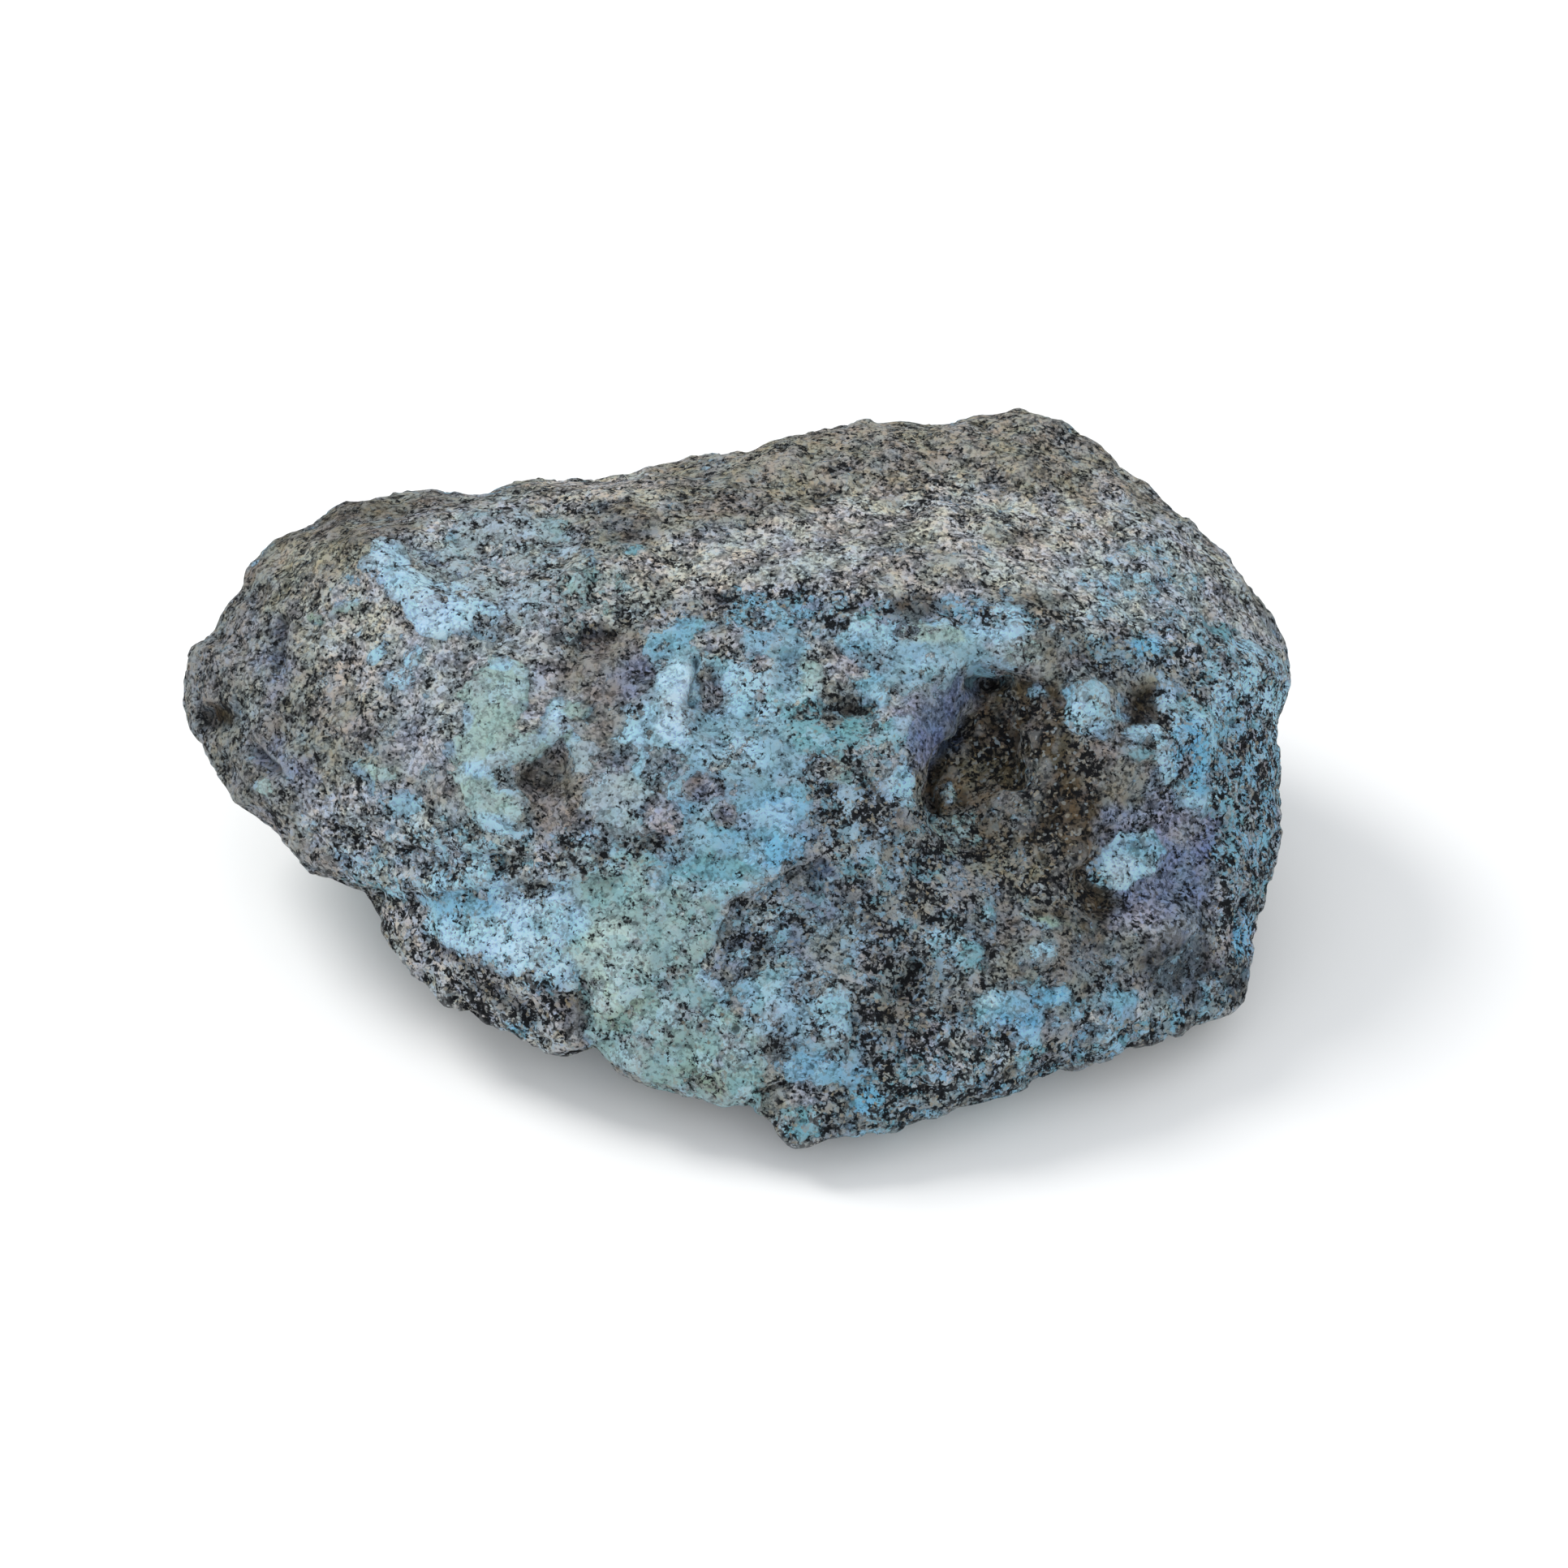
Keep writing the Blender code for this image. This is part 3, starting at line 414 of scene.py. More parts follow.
# Spots of crust: (colour, share of the ground they cover, picture x and y, half width, half height, turn)
CRUST_SPOTS = (
    # the left knob
    ("pale blue", 0.9, 492, 718, 14, 8, 45),
    ("pale blue", 0.7, 600, 752, 20, 8, 10),
    ("moss", 0.7, 432, 748, 24, 8, -20),
    ("moss", 0.6, 392, 766, 10, 8, 0),
    ("pale blue", 0.8, 462, 806, 12, 12, 0),
    ("pale blue", 0.8, 514, 808, 18, 14, -20),
    ("pale blue", 0.6, 494, 834, 16, 12, 0),
    ("pale green", 0.7, 465, 952, 26, 10, 10),
    ("pale blue", 0.8, 500, 996, 22, 18, 10),
    ("pale green", 0.8, 326, 974, 14, 14, 40),
    ("pale blue", 0.7, 386, 1018, 12, 10, 0),
    ("ice", 0.6, 440, 1062, 30, 14, 25),
    ("ice", 0.55, 556, 1052, 40, 12, 5),
    ("pale blue", 0.7, 580, 1086, 60, 14, 0),
    ("teal", 0.7, 470, 1096, 34, 8, 25),
    # the pale green crust
    ("pale blue", 0.9, 610, 1014, 26, 9, 30),
    ("pale blue", 1.0, 622, 820, 14, 8, 0),
    ("pale blue", 1.0, 590, 948, 20, 6, 0),
    ("ice", 1.0, 688, 880, 10, 16, 0),
    ("pale green", 0.8, 713, 876, 13, 10, 0),
    # the valley and the top
    ("frost", 0.85, 640, 655, 66, 24, 12),
    ("teal", 0.7, 775, 678, 24, 9, -8),
    ("sea green", 0.45, 740, 725, 50, 24, 0),
    ("teal", 0.55, 1510, 775, 34, 10, 10),
    # the middle of the front
    ("pale green", 0.9, 778, 1060, 24, 12, 0),
    ("pale green", 0.8, 716, 1055, 24, 10, 0),
    ("pale blue", 0.7, 790, 935, 14, 26, 0),
    ("sky", 0.85, 826, 784, 36, 16, -20),
    ("ice", 1.1, 832, 850, 22, 30, 4),
    ("sky", 1.0, 850, 878, 12, 12, 0),
    ("ice", 1.05, 832, 900, 18, 18, 0),
    ("pale blue", 0.9, 915, 850, 40, 28, 20),
    ("pale blue", 0.7, 900, 930, 34, 18, 0),
    ("sky", 0.85, 838, 990, 14, 26, 0),
    ("sky", 0.9, 935, 1010, 60, 30, -20),
    ("bright blue", 0.95, 958, 1054, 44, 18, -25),
    ("teal", 0.9, 880, 1078, 50, 22, 0),
    ("pale green", 0.9, 1004, 838, 16, 24, 0),
    ("sky", 0.95, 1066, 838, 20, 14, 20),
    ("sky", 0.95, 1090, 858, 12, 10, 20),
    ("teal", 0.9, 1082, 912, 30, 12, 0),
    ("teal", 0.7, 1004, 886, 12, 26, 0),
    ("pale green", 0.5, 1050, 946, 40, 14, 0),
    ("pale blue", 0.85, 1112, 968, 16, 24, 0),
    ("pale blue", 0.85, 1078, 778, 36, 20, -10),
    ("sky", 0.85, 1050, 806, 26, 12, 0),
    ("pale green", 0.6, 1150, 782, 34, 12, 0),
    ("frost", 0.6, 1250, 795, 30, 14, 0),
    ("pale blue", 0.8, 1235, 768, 30, 18, 0),
    ("pale blue", 0.85, 1145, 826, 24, 8, 0),
    ("moss", 0.7, 1265, 808, 22, 12, 0),
    ("dull blue", -0.2, 1040, 815, 30, 12, 30),
    ("dull blue", -0.2, 872, 846, 14, 26, 5),
    ("dull blue", -0.3, 785, 835, 24, 24, 0),
    ("dull blue", -0.1, 890, 788, 26, 12, 0),
    ("dull blue", -0.2, 935, 815, 12, 10, 0),
    ("dull blue", -0.2, 868, 972, 20, 18, 30),
    ("dull blue", -0.2, 895, 1005, 14, 10, 0),
    ("dull blue", -0.2, 815, 1010, 24, 22, 0),
    # the slab
    ("pale blue", 0.95, 672, 1136, 40, 24, 0),
    ("sky", 0.9, 572, 1116, 40, 16, 0),
    ("pale blue", 0.8, 540, 1140, 18, 12, 0),
    ("moss", 0.8, 758, 1230, 26, 34, 0),
    ("sea green", 0.9, 820, 1120, 50, 24, 0),
    ("ice", 0.95, 656, 1108, 44, 12, 0),
    ("light green", 1.05, 752, 1190, 38, 46, 0),
    ("ice", 0.95, 652, 1176, 44, 22, 10),
    ("moss", 0.7, 870, 1330, 30, 14, 20),
    ("bright blue", 0.8, 634, 1266, 24, 9, 15),
    # the hollow and what lies round it
    ("pale green", 1.3, 1170, 976, 11, 11, 0),
    ("pale green", 0.9, 1176, 1028, 34, 12, 28),
    ("sky", 1.0, 1336, 850, 32, 12, 0),
    ("pale blue", 0.7, 1280, 856, 12, 10, 0),
    ("pale blue", 0.8, 1400, 905, 16, 10, 0),
    ("pale blue", 1.0, 1346, 888, 26, 14, 0),
    ("teal", 0.8, 1406, 928, 22, 9, 0),
    ("bright blue", 0.85, 1470, 930, 20, 40, -10),
    ("ice", 1.4, 1372, 1076, 26, 14, -40),
    ("sky", 1.4, 1412, 1046, 22, 12, 0),
    ("bright blue", 0.8, 1410, 800, 14, 12, 0),
    ("moss", 0.7, 1292, 1134, 34, 6, 18),
    # the lower right
    ("teal", 0.9, 1216, 1126, 10, 8, 0),
    ("pale blue", 0.8, 1160, 1162, 22, 16, 0),
    ("teal", 0.7, 1200, 1182, 22, 14, 30),
    ("pale blue", 0.7, 1280, 1172, 22, 16, -30),
    ("bright blue", 0.9, 1300, 1226, 20, 14, 0),
    ("bright blue", 0.95, 1255, 1262, 22, 14, 0),
    ("ice", 0.9, 1216, 1230, 14, 10, 0),
    ("bright blue", 0.95, 1530, 1162, 14, 36, 4),
    ("bright blue", 0.9, 1072, 1356, 22, 10, -10),
    ("sky", 0.85, 1005, 1320, 40, 20, 0),
    ("teal", 0.9, 985, 1392, 24, 22, 0),
    ("pale blue", 0.9, 1030, 1240, 22, 36, 10),
)

# Grit, from 0 for calm ground to 1 for coarse grains with many black gaps: (grit, soft edge, corners)
GRIT_ZONES = (
    # the top
    (0.6, 40, ((540, 560), (800, 520), (1250, 460), (1500, 600), (1620, 740), (1400, 690), (1250, 700),
     (850, 690))),
    (0.38, 30, ((850, 655), (950, 632), (1100, 628), (1250, 642), (1560, 780), (1310, 768), (1120, 735),
     (880, 730))),
    (0.55, 20, ((735, 605), (860, 590), (830, 700), (740, 690))),
    (0.65, 30, ((470, 620), (560, 600), (720, 600), (750, 700), (700, 780), (590, 780), (540, 720))),
    (1.15, 12, ((690, 762), (780, 752), (870, 735), (960, 745), (850, 765), (790, 802), (700, 808))),
    (1.0, 14, ((850, 730), (1130, 728), (1330, 755), (1310, 785), (1100, 765), (850, 760))),
    # the left knob
    (0.55, 40, ((200, 900), (300, 700), (440, 660), (520, 760), (500, 1000), (330, 1030))),
    (0.8, 20, ((200, 900), (225, 760), (300, 690), (310, 740), (262, 820), (275, 960), (340, 1040),
     (300, 1030))),
    (0.3, 30, ((490, 760), (690, 775), (690, 860), (640, 1000), (560, 1000), (480, 950))),
    (0.75, 24, ((330, 1000), (480, 1010), (640, 1030), (830, 1010), (830, 1088), (640, 1100), (380, 1100),
     (330, 1040))),
    (0.45, 24, ((640, 930), (830, 920), (830, 1010), (640, 1030))),
    (0.3, 30, ((660, 800), (830, 790), (830, 920), (720, 950), (660, 900))),
    # the middle of the front
    (0.4, 30, ((790, 760), (900, 770), (960, 860), (1010, 1000), (980, 1080), (850, 1090), (830, 940))),
    (0.9, 20, ((880, 800), (900, 790), (1010, 860), (990, 920), (930, 900))),
    (1.05, 30, ((1010, 950), (1150, 960), (1210, 1090), (1180, 1200), (1060, 1160), (1010, 1060))),
    (0.45, 24, ((1020, 770), (1120, 760), (1290, 770), (1320, 830), (1200, 838), (1040, 850))),
    (0.7, 20, ((960, 850), (1100, 850), (1120, 940), (980, 940))),
    # the slab and the scar
    (0.6, 24, ((505, 1105), (640, 1090), (860, 1080), (880, 1180), (720, 1220), (560, 1180))),
    (0.7, 24, ((720, 1180), (860, 1180), (960, 1330), (900, 1380), (730, 1300))),
    (1.3, 16, ((455, 1090), (520, 1110), (560, 1170), (620, 1200), (715, 1195), (715, 1320), (500, 1240))),
    (0.8, 16, ((900, 1110), (960, 1080), (1030, 1056), (1050, 1120), (980, 1190), (890, 1195))),
    (0.6, 24, ((895, 1190), (960, 1175), (1050, 1190), (1050, 1310), (960, 1320))),
    # the hollow and what lies round it
    (0.05, 12, ((1108, 862), (1150, 845), (1215, 832), (1196, 882), (1146, 955), (1112, 910))),
    (1.0, 16, ((1215, 845), (1300, 850), (1345, 900), (1360, 1130), (1260, 1110), (1140, 1010),
     (1142, 950))),
    (0.45, 44, ((1350, 970), (1440, 930), (1505, 970), (1500, 1120), (1460, 1190), (1360, 1160))),
    (1.0, 24, ((1330, 770), (1440, 770), (1580, 820), (1500, 870), (1500, 960), (1440, 1000), (1430, 820),
     (1340, 820))),
    (0.6, 24, ((1190, 1110), (1300, 1110), (1450, 1180), (1480, 1240), (1200, 1210))),
    (1.3, 14, ((1508, 850), (1610, 790), (1600, 1300), (1480, 1290), (1500, 1000))),
    # the bottom
    (1.15, 30, ((1060, 1180), (1190, 1200), (1240, 1290), (1100, 1360), (1050, 1330))),
    (1.2, 16, ((910, 1385), (1050, 1345), (1250, 1300), (1530, 1225), (1530, 1290), (1000, 1440))),
)

# Crust and grit where no zone lies, and on the hidden side
BARE_CRUST = -0.06
PLAIN_GRIT = 0.5
HIDDEN_CRUST = 0.34
HIDDEN_GRIT = 0.45

# Steps that the coarse solid blurs, lower on the line's right: (drop in mm, reach, points of the picture)
STEPS = (
    (0.25, 30, ((365, 1060), (440, 1094), (520, 1102), (600, 1094), (660, 1088), (740, 1082), (805, 1074))),
    (0.3, 26, ((400, 1008), (475, 1036), (540, 1052), (620, 1056), (700, 1050))),
    (0.45, 40, ((875, 1200), (885, 1150), (900, 1112), (950, 1086), (985, 1070), (1020, 1056))),
    (0.4, 22, ((718, 1300), (714, 1260), (712, 1215), (700, 1180))),
    (0.3, 26, ((735, 1010), (790, 1030), (830, 1025))),
)

# Cracks: (half width, depth in mm, points of the picture)
CRACKS = (
    (9, 0.9, ((348, 765), (342, 790), (336, 825))),
    (7, 0.8, ((315, 925), (326, 940), (338, 952))),
    (7, 0.4, ((455, 1015), (500, 1030), (560, 1052), (620, 1056))),
    (7, 0.4, ((380, 1030), (420, 1058), (470, 1080))),
    (8, 0.3, ((702, 905), (672, 935), (648, 955))),
    (9, 1.0, ((858, 812), (862, 838), (856, 868))),
    (8, 0.6, ((925, 1363), (938, 1345), (965, 1335))),
    (8, 0.6, ((1150, 1010), (1144, 980), (1150, 945), (1166, 918))),
    (6, 0.3, ((1166, 918), (1190, 892), (1206, 870), (1214, 850))),
    (10, 0.8, ((1204, 846), (1220, 842), (1238, 842))),
)

# Pits: (picture x, picture y, radius, depth in mm)
PITS = (
    (905, 1268, 9, 0.5),
    (877, 1125, 9, 0.5),
    (1015, 1065, 12, 0.3),
    (965, 1152, 13, 0.3),
    (1065, 1142, 10, 0.3),
    (974, 812, 14, 0.35),
    (265, 885, 20, 0.5),
    (1274, 925, 26, 0.5),
    (1128, 1200, 15, 0.45),
    (1112, 1226, 10, 0.35),
    (1176, 1150, 9, 0.25),
    (728, 882, 8, 0.4),
    (672, 968, 12, 0.3),
    (1360, 1112, 18, 0.45),
    (1442, 1130, 7, 0.25),
    (1520, 1226, 16, 0.3),
    (975, 922, 8, 0.25),
    (1046, 925, 7, 0.25),
    (1045, 872, 20, 0.3),
    (1420, 862, 16, 0.35),
    (1115, 842, 10, 0.2),
    (990, 1010, 8, 0.2),
    (860, 1000, 10, 0.2),
)


class NuggetShape(bpy.types.PropertyGroup):
    """Sizes of the stone's relief."""

    net: bpy.props.FloatProperty(
        name="Net",
        description="Size of the faces that the relief is laid on",
        default=0.00028,
        unit="LENGTH",
    )
    lumps: bpy.props.FloatProperty(
        name="Lumps",
        description="Height of the soft lumps of the rock",
        default=0.00034,
        unit="LENGTH",
    )
    crust: bpy.props.FloatProperty(
        name="Crust",
        description="Thickness of the turquoise crusts",
        default=0.00018,
        unit="LENGTH",
    )
    grain: bpy.props.FloatProperty(
        name="Grain",
        description="Height of the rock's grains",
        default=0.0002,
        unit="LENGTH",
    )
    triangles: bpy.props.IntProperty(
        name="Triangles",
        description="Most triangles the stone may have",
        default=196000,
    )


class StageShape(bpy.types.PropertyGroup):
    """Sizes and colours of the stage."""

    floor: bpy.props.FloatProperty(
        name="Floor",
        description="Width of the floor",
        default=6.0,
        unit="LENGTH",
    )
    paper: bpy.props.FloatVectorProperty(
        name="Paper",
        description="Colour of the floor",
        default=(0.9, 0.9, 0.9),
        subtype="COLOR",
    )


# Large odd numbers that mix the bits of a cell of space and of a seed into a random number
CELL_MIXERS = np.array((73856093, 19349663, 83492791), np.uint32)
SEED_MIXER = 2654435761
BIT_MIXERS = np.array(((13, 1274126177), (15, 2246822519)), np.uint32)


def linear(colour):
    """A colour given out of 255, in the light's own numbers."""
    share = np.array(colour) / 255
    return np.where(share <= 0.04045, share / 12.92, ((share + 0.055) / 1.055) ** 2.4)


def ramp(value, low, high):
    """Goes smoothly from 0 at low to 1 at high."""
    share = np.clip((value - low) / (high - low), 0, 1)
    return share * share * (3 - 2 * share)


def chance(cell, seed):
    """A fixed random number from 0 to 1 for each cell of space."""
    cell = cell.astype(np.int64).astype(np.uint32) * CELL_MIXERS
    mixed = cell[..., 0] ^ cell[..., 1] ^ cell[..., 2] ^ np.uint32(seed * SEED_MIXER % 2**32)
    for shift, mixer in BIT_MIXERS:
        mixed = (mixed ^ mixed >> shift) * mixer
    return (mixed ^ mixed >> np.uint32(16)) / 2**32


def cloud(places, size, seed, octaves=1):
    """Soft noise from -1 to 1 with lumps of about this size."""
    total, weight, sum_of_weights = 0, 1.0, 0
    for octave in range(octaves):
        spot = places / size + 31.7
        whole = np.floor(spot)
        part = spot - whole
        soft = part * part * (3 - 2 * part)
        value = 0
        for corner in product((0, 1), repeat=3):
            share = np.prod(np.where(corner, soft, 1 - soft), axis=1)
            value = value + share * chance(whole + corner, seed + octave)
        total = total + weight * (2 * value - 1)
        sum_of_weights += weight
        size, weight = size / 2, weight * 0.6
    return total / sum_of_weights * 1.6


class Net:
    """The places of a mesh in millimetres, and the picture point and the facing of each."""

    def __init__(self, piece):
        self.mesh = piece.data
        count = len(self.mesh.vertices)
        flat = np.empty(count * 3, np.float32)
        self.mesh.vertices.foreach_get("co", flat)
        self.places = flat.reshape(-1, 3).astype(float) / MM
        flat = np.empty(count * 3, np.float32)
        self.mesh.vertex_normals.foreach_get("vector", flat)
        self.normals = flat.reshape(-1, 3).astype(float)
        self.facing = self.normals @ TOWARD
        self.shown = ramp(self.facing, *COLOURS_FADE)
        offset = self.places - EYE_AIM
        self.toward = offset @ TOWARD
        shrink = ELEMENT * (1 - self.toward / EYE_DISTANCE)
        self.x = PICTURE_MIDDLE + offset @ RIGHT / shrink
        self.y = PICTURE_MIDDLE - offset @ UP / shrink

    def raise_by(self, height):
        """Moves each place out along its normal, but none below the foot."""
        self.places = self.places + self.normals * height[:, None]
        self.places[:, 2] = np.maximum(self.places[:, 2], 0)
        self.mesh.vertices.foreach_set("co", (self.places * MM).ravel())
        self.mesh.update()

    def either(self, front, hidden):
        """Values of the side that shows, going over to those of the hidden side as the stone turns away."""
        shown = self.shown.reshape(-1, *[1] * (front.ndim - 1))
        return shown * front + (1 - shown) * hidden

    def smoothed(self, values, times):
        """The values spread over the neighbours so many times."""
        pairs = np.empty(len(self.mesh.edges) * 2, np.int32)
        self.mesh.edges.foreach_get("vertices", pairs)
        first, last = pairs[0::2], pairs[1::2]
        count = len(self.places)
        degree = np.maximum(np.bincount(first, minlength=count) + np.bincount(last, minlength=count), 1)
        values = values.copy()
        for _ in range(times):
            for axis in range(values.shape[1]):
                column = values[:, axis]
                total = np.bincount(first, column[last], count) + np.bincount(last, column[first], count)
                values[:, axis] = 0.5 * column + 0.5 * total / degree
        return values


def zone(net, corners, edge, wander):
    """How far each place of a net lies inside a ring of picture points, from 0 to 1 over its soft edge."""
    far = ZONE_WANDER + edge / 2
    x, y = net.x + wander[0] * far, net.y + wander[1] * far
    inside = np.zeros(len(x), bool)
    nearest = np.full(len(x), 1e9)
    for (ax, ay), (bx, by) in zip(corners, corners[1:] + corners[:1]):
        crosses = (ay > y) != (by > y)
        if ay != by:
            inside ^= crosses & (x < (bx - ax) * (y - ay) / (by - ay) + ax)
        length = (bx - ax) ** 2 + (by - ay) ** 2
        along = np.clip(((x - ax) * (bx - ax) + (y - ay) * (by - ay)) / length, 0, 1)
        nearest = np.minimum(nearest, np.hypot(x - ax - along * (bx - ax), y - ay - along * (by - ay)))
    return ramp(np.where(inside, nearest, -nearest), -edge / 2, edge / 2)


def line(net, points):
    """How far each place lies from a line of picture points, on which side, and which share along it."""
    nearest = np.full(len(net.x), 1e9)
    side = np.zeros(len(net.x))
    run = np.zeros(len(net.x))
    lengths = [np.hypot(b[0] - a[0], b[1] - a[1]) for a, b in zip(points, points[1:])]
    gone = 0
    for (ax, ay), (bx, by), length in zip(points, points[1:], lengths):
        ux, uy = (bx - ax) / length, (by - ay) / length
        along = np.clip((net.x - ax) * ux + (net.y - ay) * uy, 0, length)
        far = np.hypot(net.x - ax - along * ux, net.y - ay - along * uy)
        nearer = far < nearest
        nearest = np.where(nearer, far, nearest)
        side = np.where(nearer, np.sign(ux * (net.y - ay) - uy * (net.x - ax)), side)
        run = np.where(nearer, (gone + along) / sum(lengths), run)
        gone += length
    return nearest, side, run


def oval(net, x, y, half_width, half_height, turn, wander):
    """How far each place of a net lies inside an oval of the picture, from 0 to 1 over its ragged edge."""
    across, down = net.x - x + SPOT_WANDER * wander[0], net.y - y + SPOT_WANDER * wander[1]
    turn = radians(turn)
    along = (across * cos(turn) + down * sin(turn)) / half_width
    aside = (down * cos(turn) - across * sin(turn)) / half_height
    return 1 - ramp(np.hypot(along, aside), *SPOT_EDGE)


def wander_of(net, seed):
    """Two noises that make the edges of zones wander."""
    return [cloud(net.places, WANDER_SIZE, each, octaves=3) for each in (seed, seed + 5)]


def paint(net, value, zones, spots, wander, value_of):
    """Lays the values of zones and then of spots over each other where they show."""
    for colour, share, edge, corners in zones:
        value = value_of(value, colour, share, zone(net, corners, edge, wander))
    for colour, share, *form in spots:
        value = value_of(value, colour, share, oval(net, *form, wander))
    return value


def cover_of(value, _, share, inside):
    """The share of ground covered, with one more zone laid over it."""
    return value + (share - value) * inside


def crust_field(net):
    """How surely crust covers each place: it does where this is over a half."""
    front = np.full(len(net.x), BARE_CRUST)
    front = paint(net, front, CRUST_ZONES, CRUST_SPOTS, wander_of(net, seed=11), cover_of)
    hidden = HIDDEN_CRUST + 0.3 * cloud(net.places, 14.0, seed=21, octaves=2)
    cover = net.either(front, hidden)
    cover = cover + 0.28 * cloud(net.places, 3.0, seed=31, octaves=2)
    return cover + 0.3 * cloud(net.places, 1.2, seed=35, octaves=2)


def grit_field(net):
    """How gritty each place is: calm at 0, coarse with many black gaps at 1."""
    wander = wander_of(net, seed=111)
    grit = np.full(len(net.x), PLAIN_GRIT)
    for share, edge, corners in GRIT_ZONES:
        grit = grit + (share - grit) * zone(net, corners, edge, wander)
    return net.either(grit, HIDDEN_GRIT + 0.35 * cloud(net.places, 9.0, seed=121, octaves=2))


def plain(net, name):
    """One colour for every place of a net."""
    return np.tile(linear(COLOURS[name]), (len(net.x), 1))


def patches(net, size, seed, octaves, low, high):
    """Soft patches from 0 to 1, as a column."""
    return ramp(cloud(net.places, size, seed, octaves), low, high)[:, None]


def paint_rock(net):
    """The colour of the rock at each place."""

    def tint(value, colour, share, inside):
        return value + (linear(COLOURS[colour]) - value) * (share * inside)[:, None]

    front = paint(net, plain(net, "grey"), ROCK_ZONES, ROCK_SPOTS, wander_of(net, seed=41), tint)
    mix = patches(net, 12.0, seed=51, octaves=3, low=-0.5, high=0.5)
    hidden = linear(COLOURS["tan"]) * mix + linear(COLOURS["grey"]) * (1 - mix)
    mix = patches(net, 9.0, seed=55, octaves=3, low=0.15, high=0.6)
    return net.either(front, hidden + (linear(COLOURS["brown"]) - hidden) * mix)


def paint_crust(net):
    """The colour that the crust has at each place."""

    def tint(value, colour, share, inside):
        return value + (linear(COLOURS[colour]) - value) * np.minimum(1, 3 * inside)[:, None]

    front = paint(net, plain(net, "dull blue"), CRUST_ZONES, CRUST_SPOTS, wander_of(net, seed=61), tint)
    mix = patches(net, 10.0, seed=71, octaves=2, low=-0.4, high=0.4)
    hidden = linear(COLOURS["sky"]) * mix + linear(COLOURS["sea green"]) * (1 - mix)
    return net.either(front, hidden)


def deselect():
    """Leaves nothing selected, so that an operator works on what is chosen next."""
    if bpy.context.object and bpy.context.object.mode != "OBJECT":
        bpy.ops.object.mode_set(mode="OBJECT")
    bpy.ops.object.select_all(action="DESELECT")


def choose(piece):
    """Makes a piece the one that operators work on."""
    deselect()
    piece.select_set(True)
    bpy.context.view_layer.objects.active = piece


def apply_modifiers(piece):
    """Makes the modifiers of a piece part of its mesh, in their order."""
    choose(piece)
    for modifier in list(piece.modifiers):
        bpy.ops.object.modifier_apply(modifier=modifier.name)


def copy_solid(node, name):
    """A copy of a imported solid's mesh with its loose triangles joined."""
    piece = bpy.data.objects.new(name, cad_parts[node].data.copy())
    bpy.context.scene.collection.objects.link(piece)
    piece.data.materials.clear()
    choose(piece)
    bpy.ops.object.mode_set(mode="EDIT")
    bpy.ops.mesh.select_all(action="SELECT")
    bpy.ops.mesh.remove_doubles(threshold=0.00001)
    bpy.ops.object.mode_set(mode="OBJECT")
    return piece


def store(mesh, name, kind, values):
    """Keeps a number or a colour for each place of a mesh."""
    layer = mesh.attributes.new(name, kind, "POINT")
    if kind == "FLOAT":
        layer.data.foreach_set("value", values.astype(np.float32))
    else:
        full = np.concatenate([values, np.ones((len(values), 1))], axis=1)
        layer.data.foreach_set("color", full.astype(np.float32).ravel())


def carve(piece, shape):
    """Lays the steps, cracks, pits, crusts and grains of the stone on its net."""
    net = Net(piece)
    height = np.zeros(len(net.x))
    for drop, reach, points in STEPS:
        far, side, run = line(net, points)
        fade = ramp(run, 0, STEP_FADE) * (1 - ramp(run, 1 - STEP_FADE, 1))
        height += np.where(side > 0, -drop * (1 - ramp(far, STEP_LEVEL * reach, reach)), 0) * fade
    for half_width, depth, points in CRACKS:
        far, _, run = line(net, points)
        ragged = half_width * (1 + CRACK_RAGGED * cloud(net.places, 1.2, seed=81))
        height -= depth * (1 - ramp(far, CRACK_LEVEL * half_width, ragged + CRACK_EDGE))
    for x, y, radius, depth in PITS:
        far = np.hypot(net.x - x, net.y - y) + PIT_RAGGED * radius * cloud(net.places, 1.0, seed=83)
        height -= depth * (1 - ramp(far, PIT_LEVEL * radius, PIT_END * radius))
    height *= ramp(net.facing, *RELIEF_FADE)
    height += shape.lumps / MM * cloud(net.places, 4.0, seed=91, octaves=3)
    crust = ramp(crust_field(net), *CRUST_BORDER)
    height += shape.crust / MM * crust
    grit = grit_field(net)
    grains = cloud(net.places, 1.1, seed=101, octaves=2)
    height += shape.grain / MM * grains * (0.4 + 0.6 * grit) * (1 - 0.3 * crust)
    holes = ramp(cloud(net.places, 1.3, seed=105), 0.5, 0.9)
    height -= shape.grain / MM * HOLE_DEPTH * holes * grit
    net.raise_by(height)


def colour_attributes(piece):
    """Keeps the stone's colours and the depth of its hollows with its mesh."""
    net = Net(piece)
    near = net.smoothed(net.places, times=4)
    wide = net.smoothed(near, times=30)
    sunk_near = np.sum((near - net.places) * net.normals, axis=1)
    sunk_wide = np.sum((wide - net.places) * net.normals, axis=1)
    store(piece.data, "sunk_near", "FLOAT", sunk_near)
    store(piece.data, "sunk_wide", "FLOAT", sunk_wide)
    store(piece.data, "crust", "FLOAT", crust_field(net))
    store(piece.data, "grit", "FLOAT", grit_field(net))
    store(piece.data, "rock_colour", "FLOAT_COLOR", paint_rock(net))
    store(piece.data, "crust_colour", "FLOAT_COLOR", paint_crust(net))


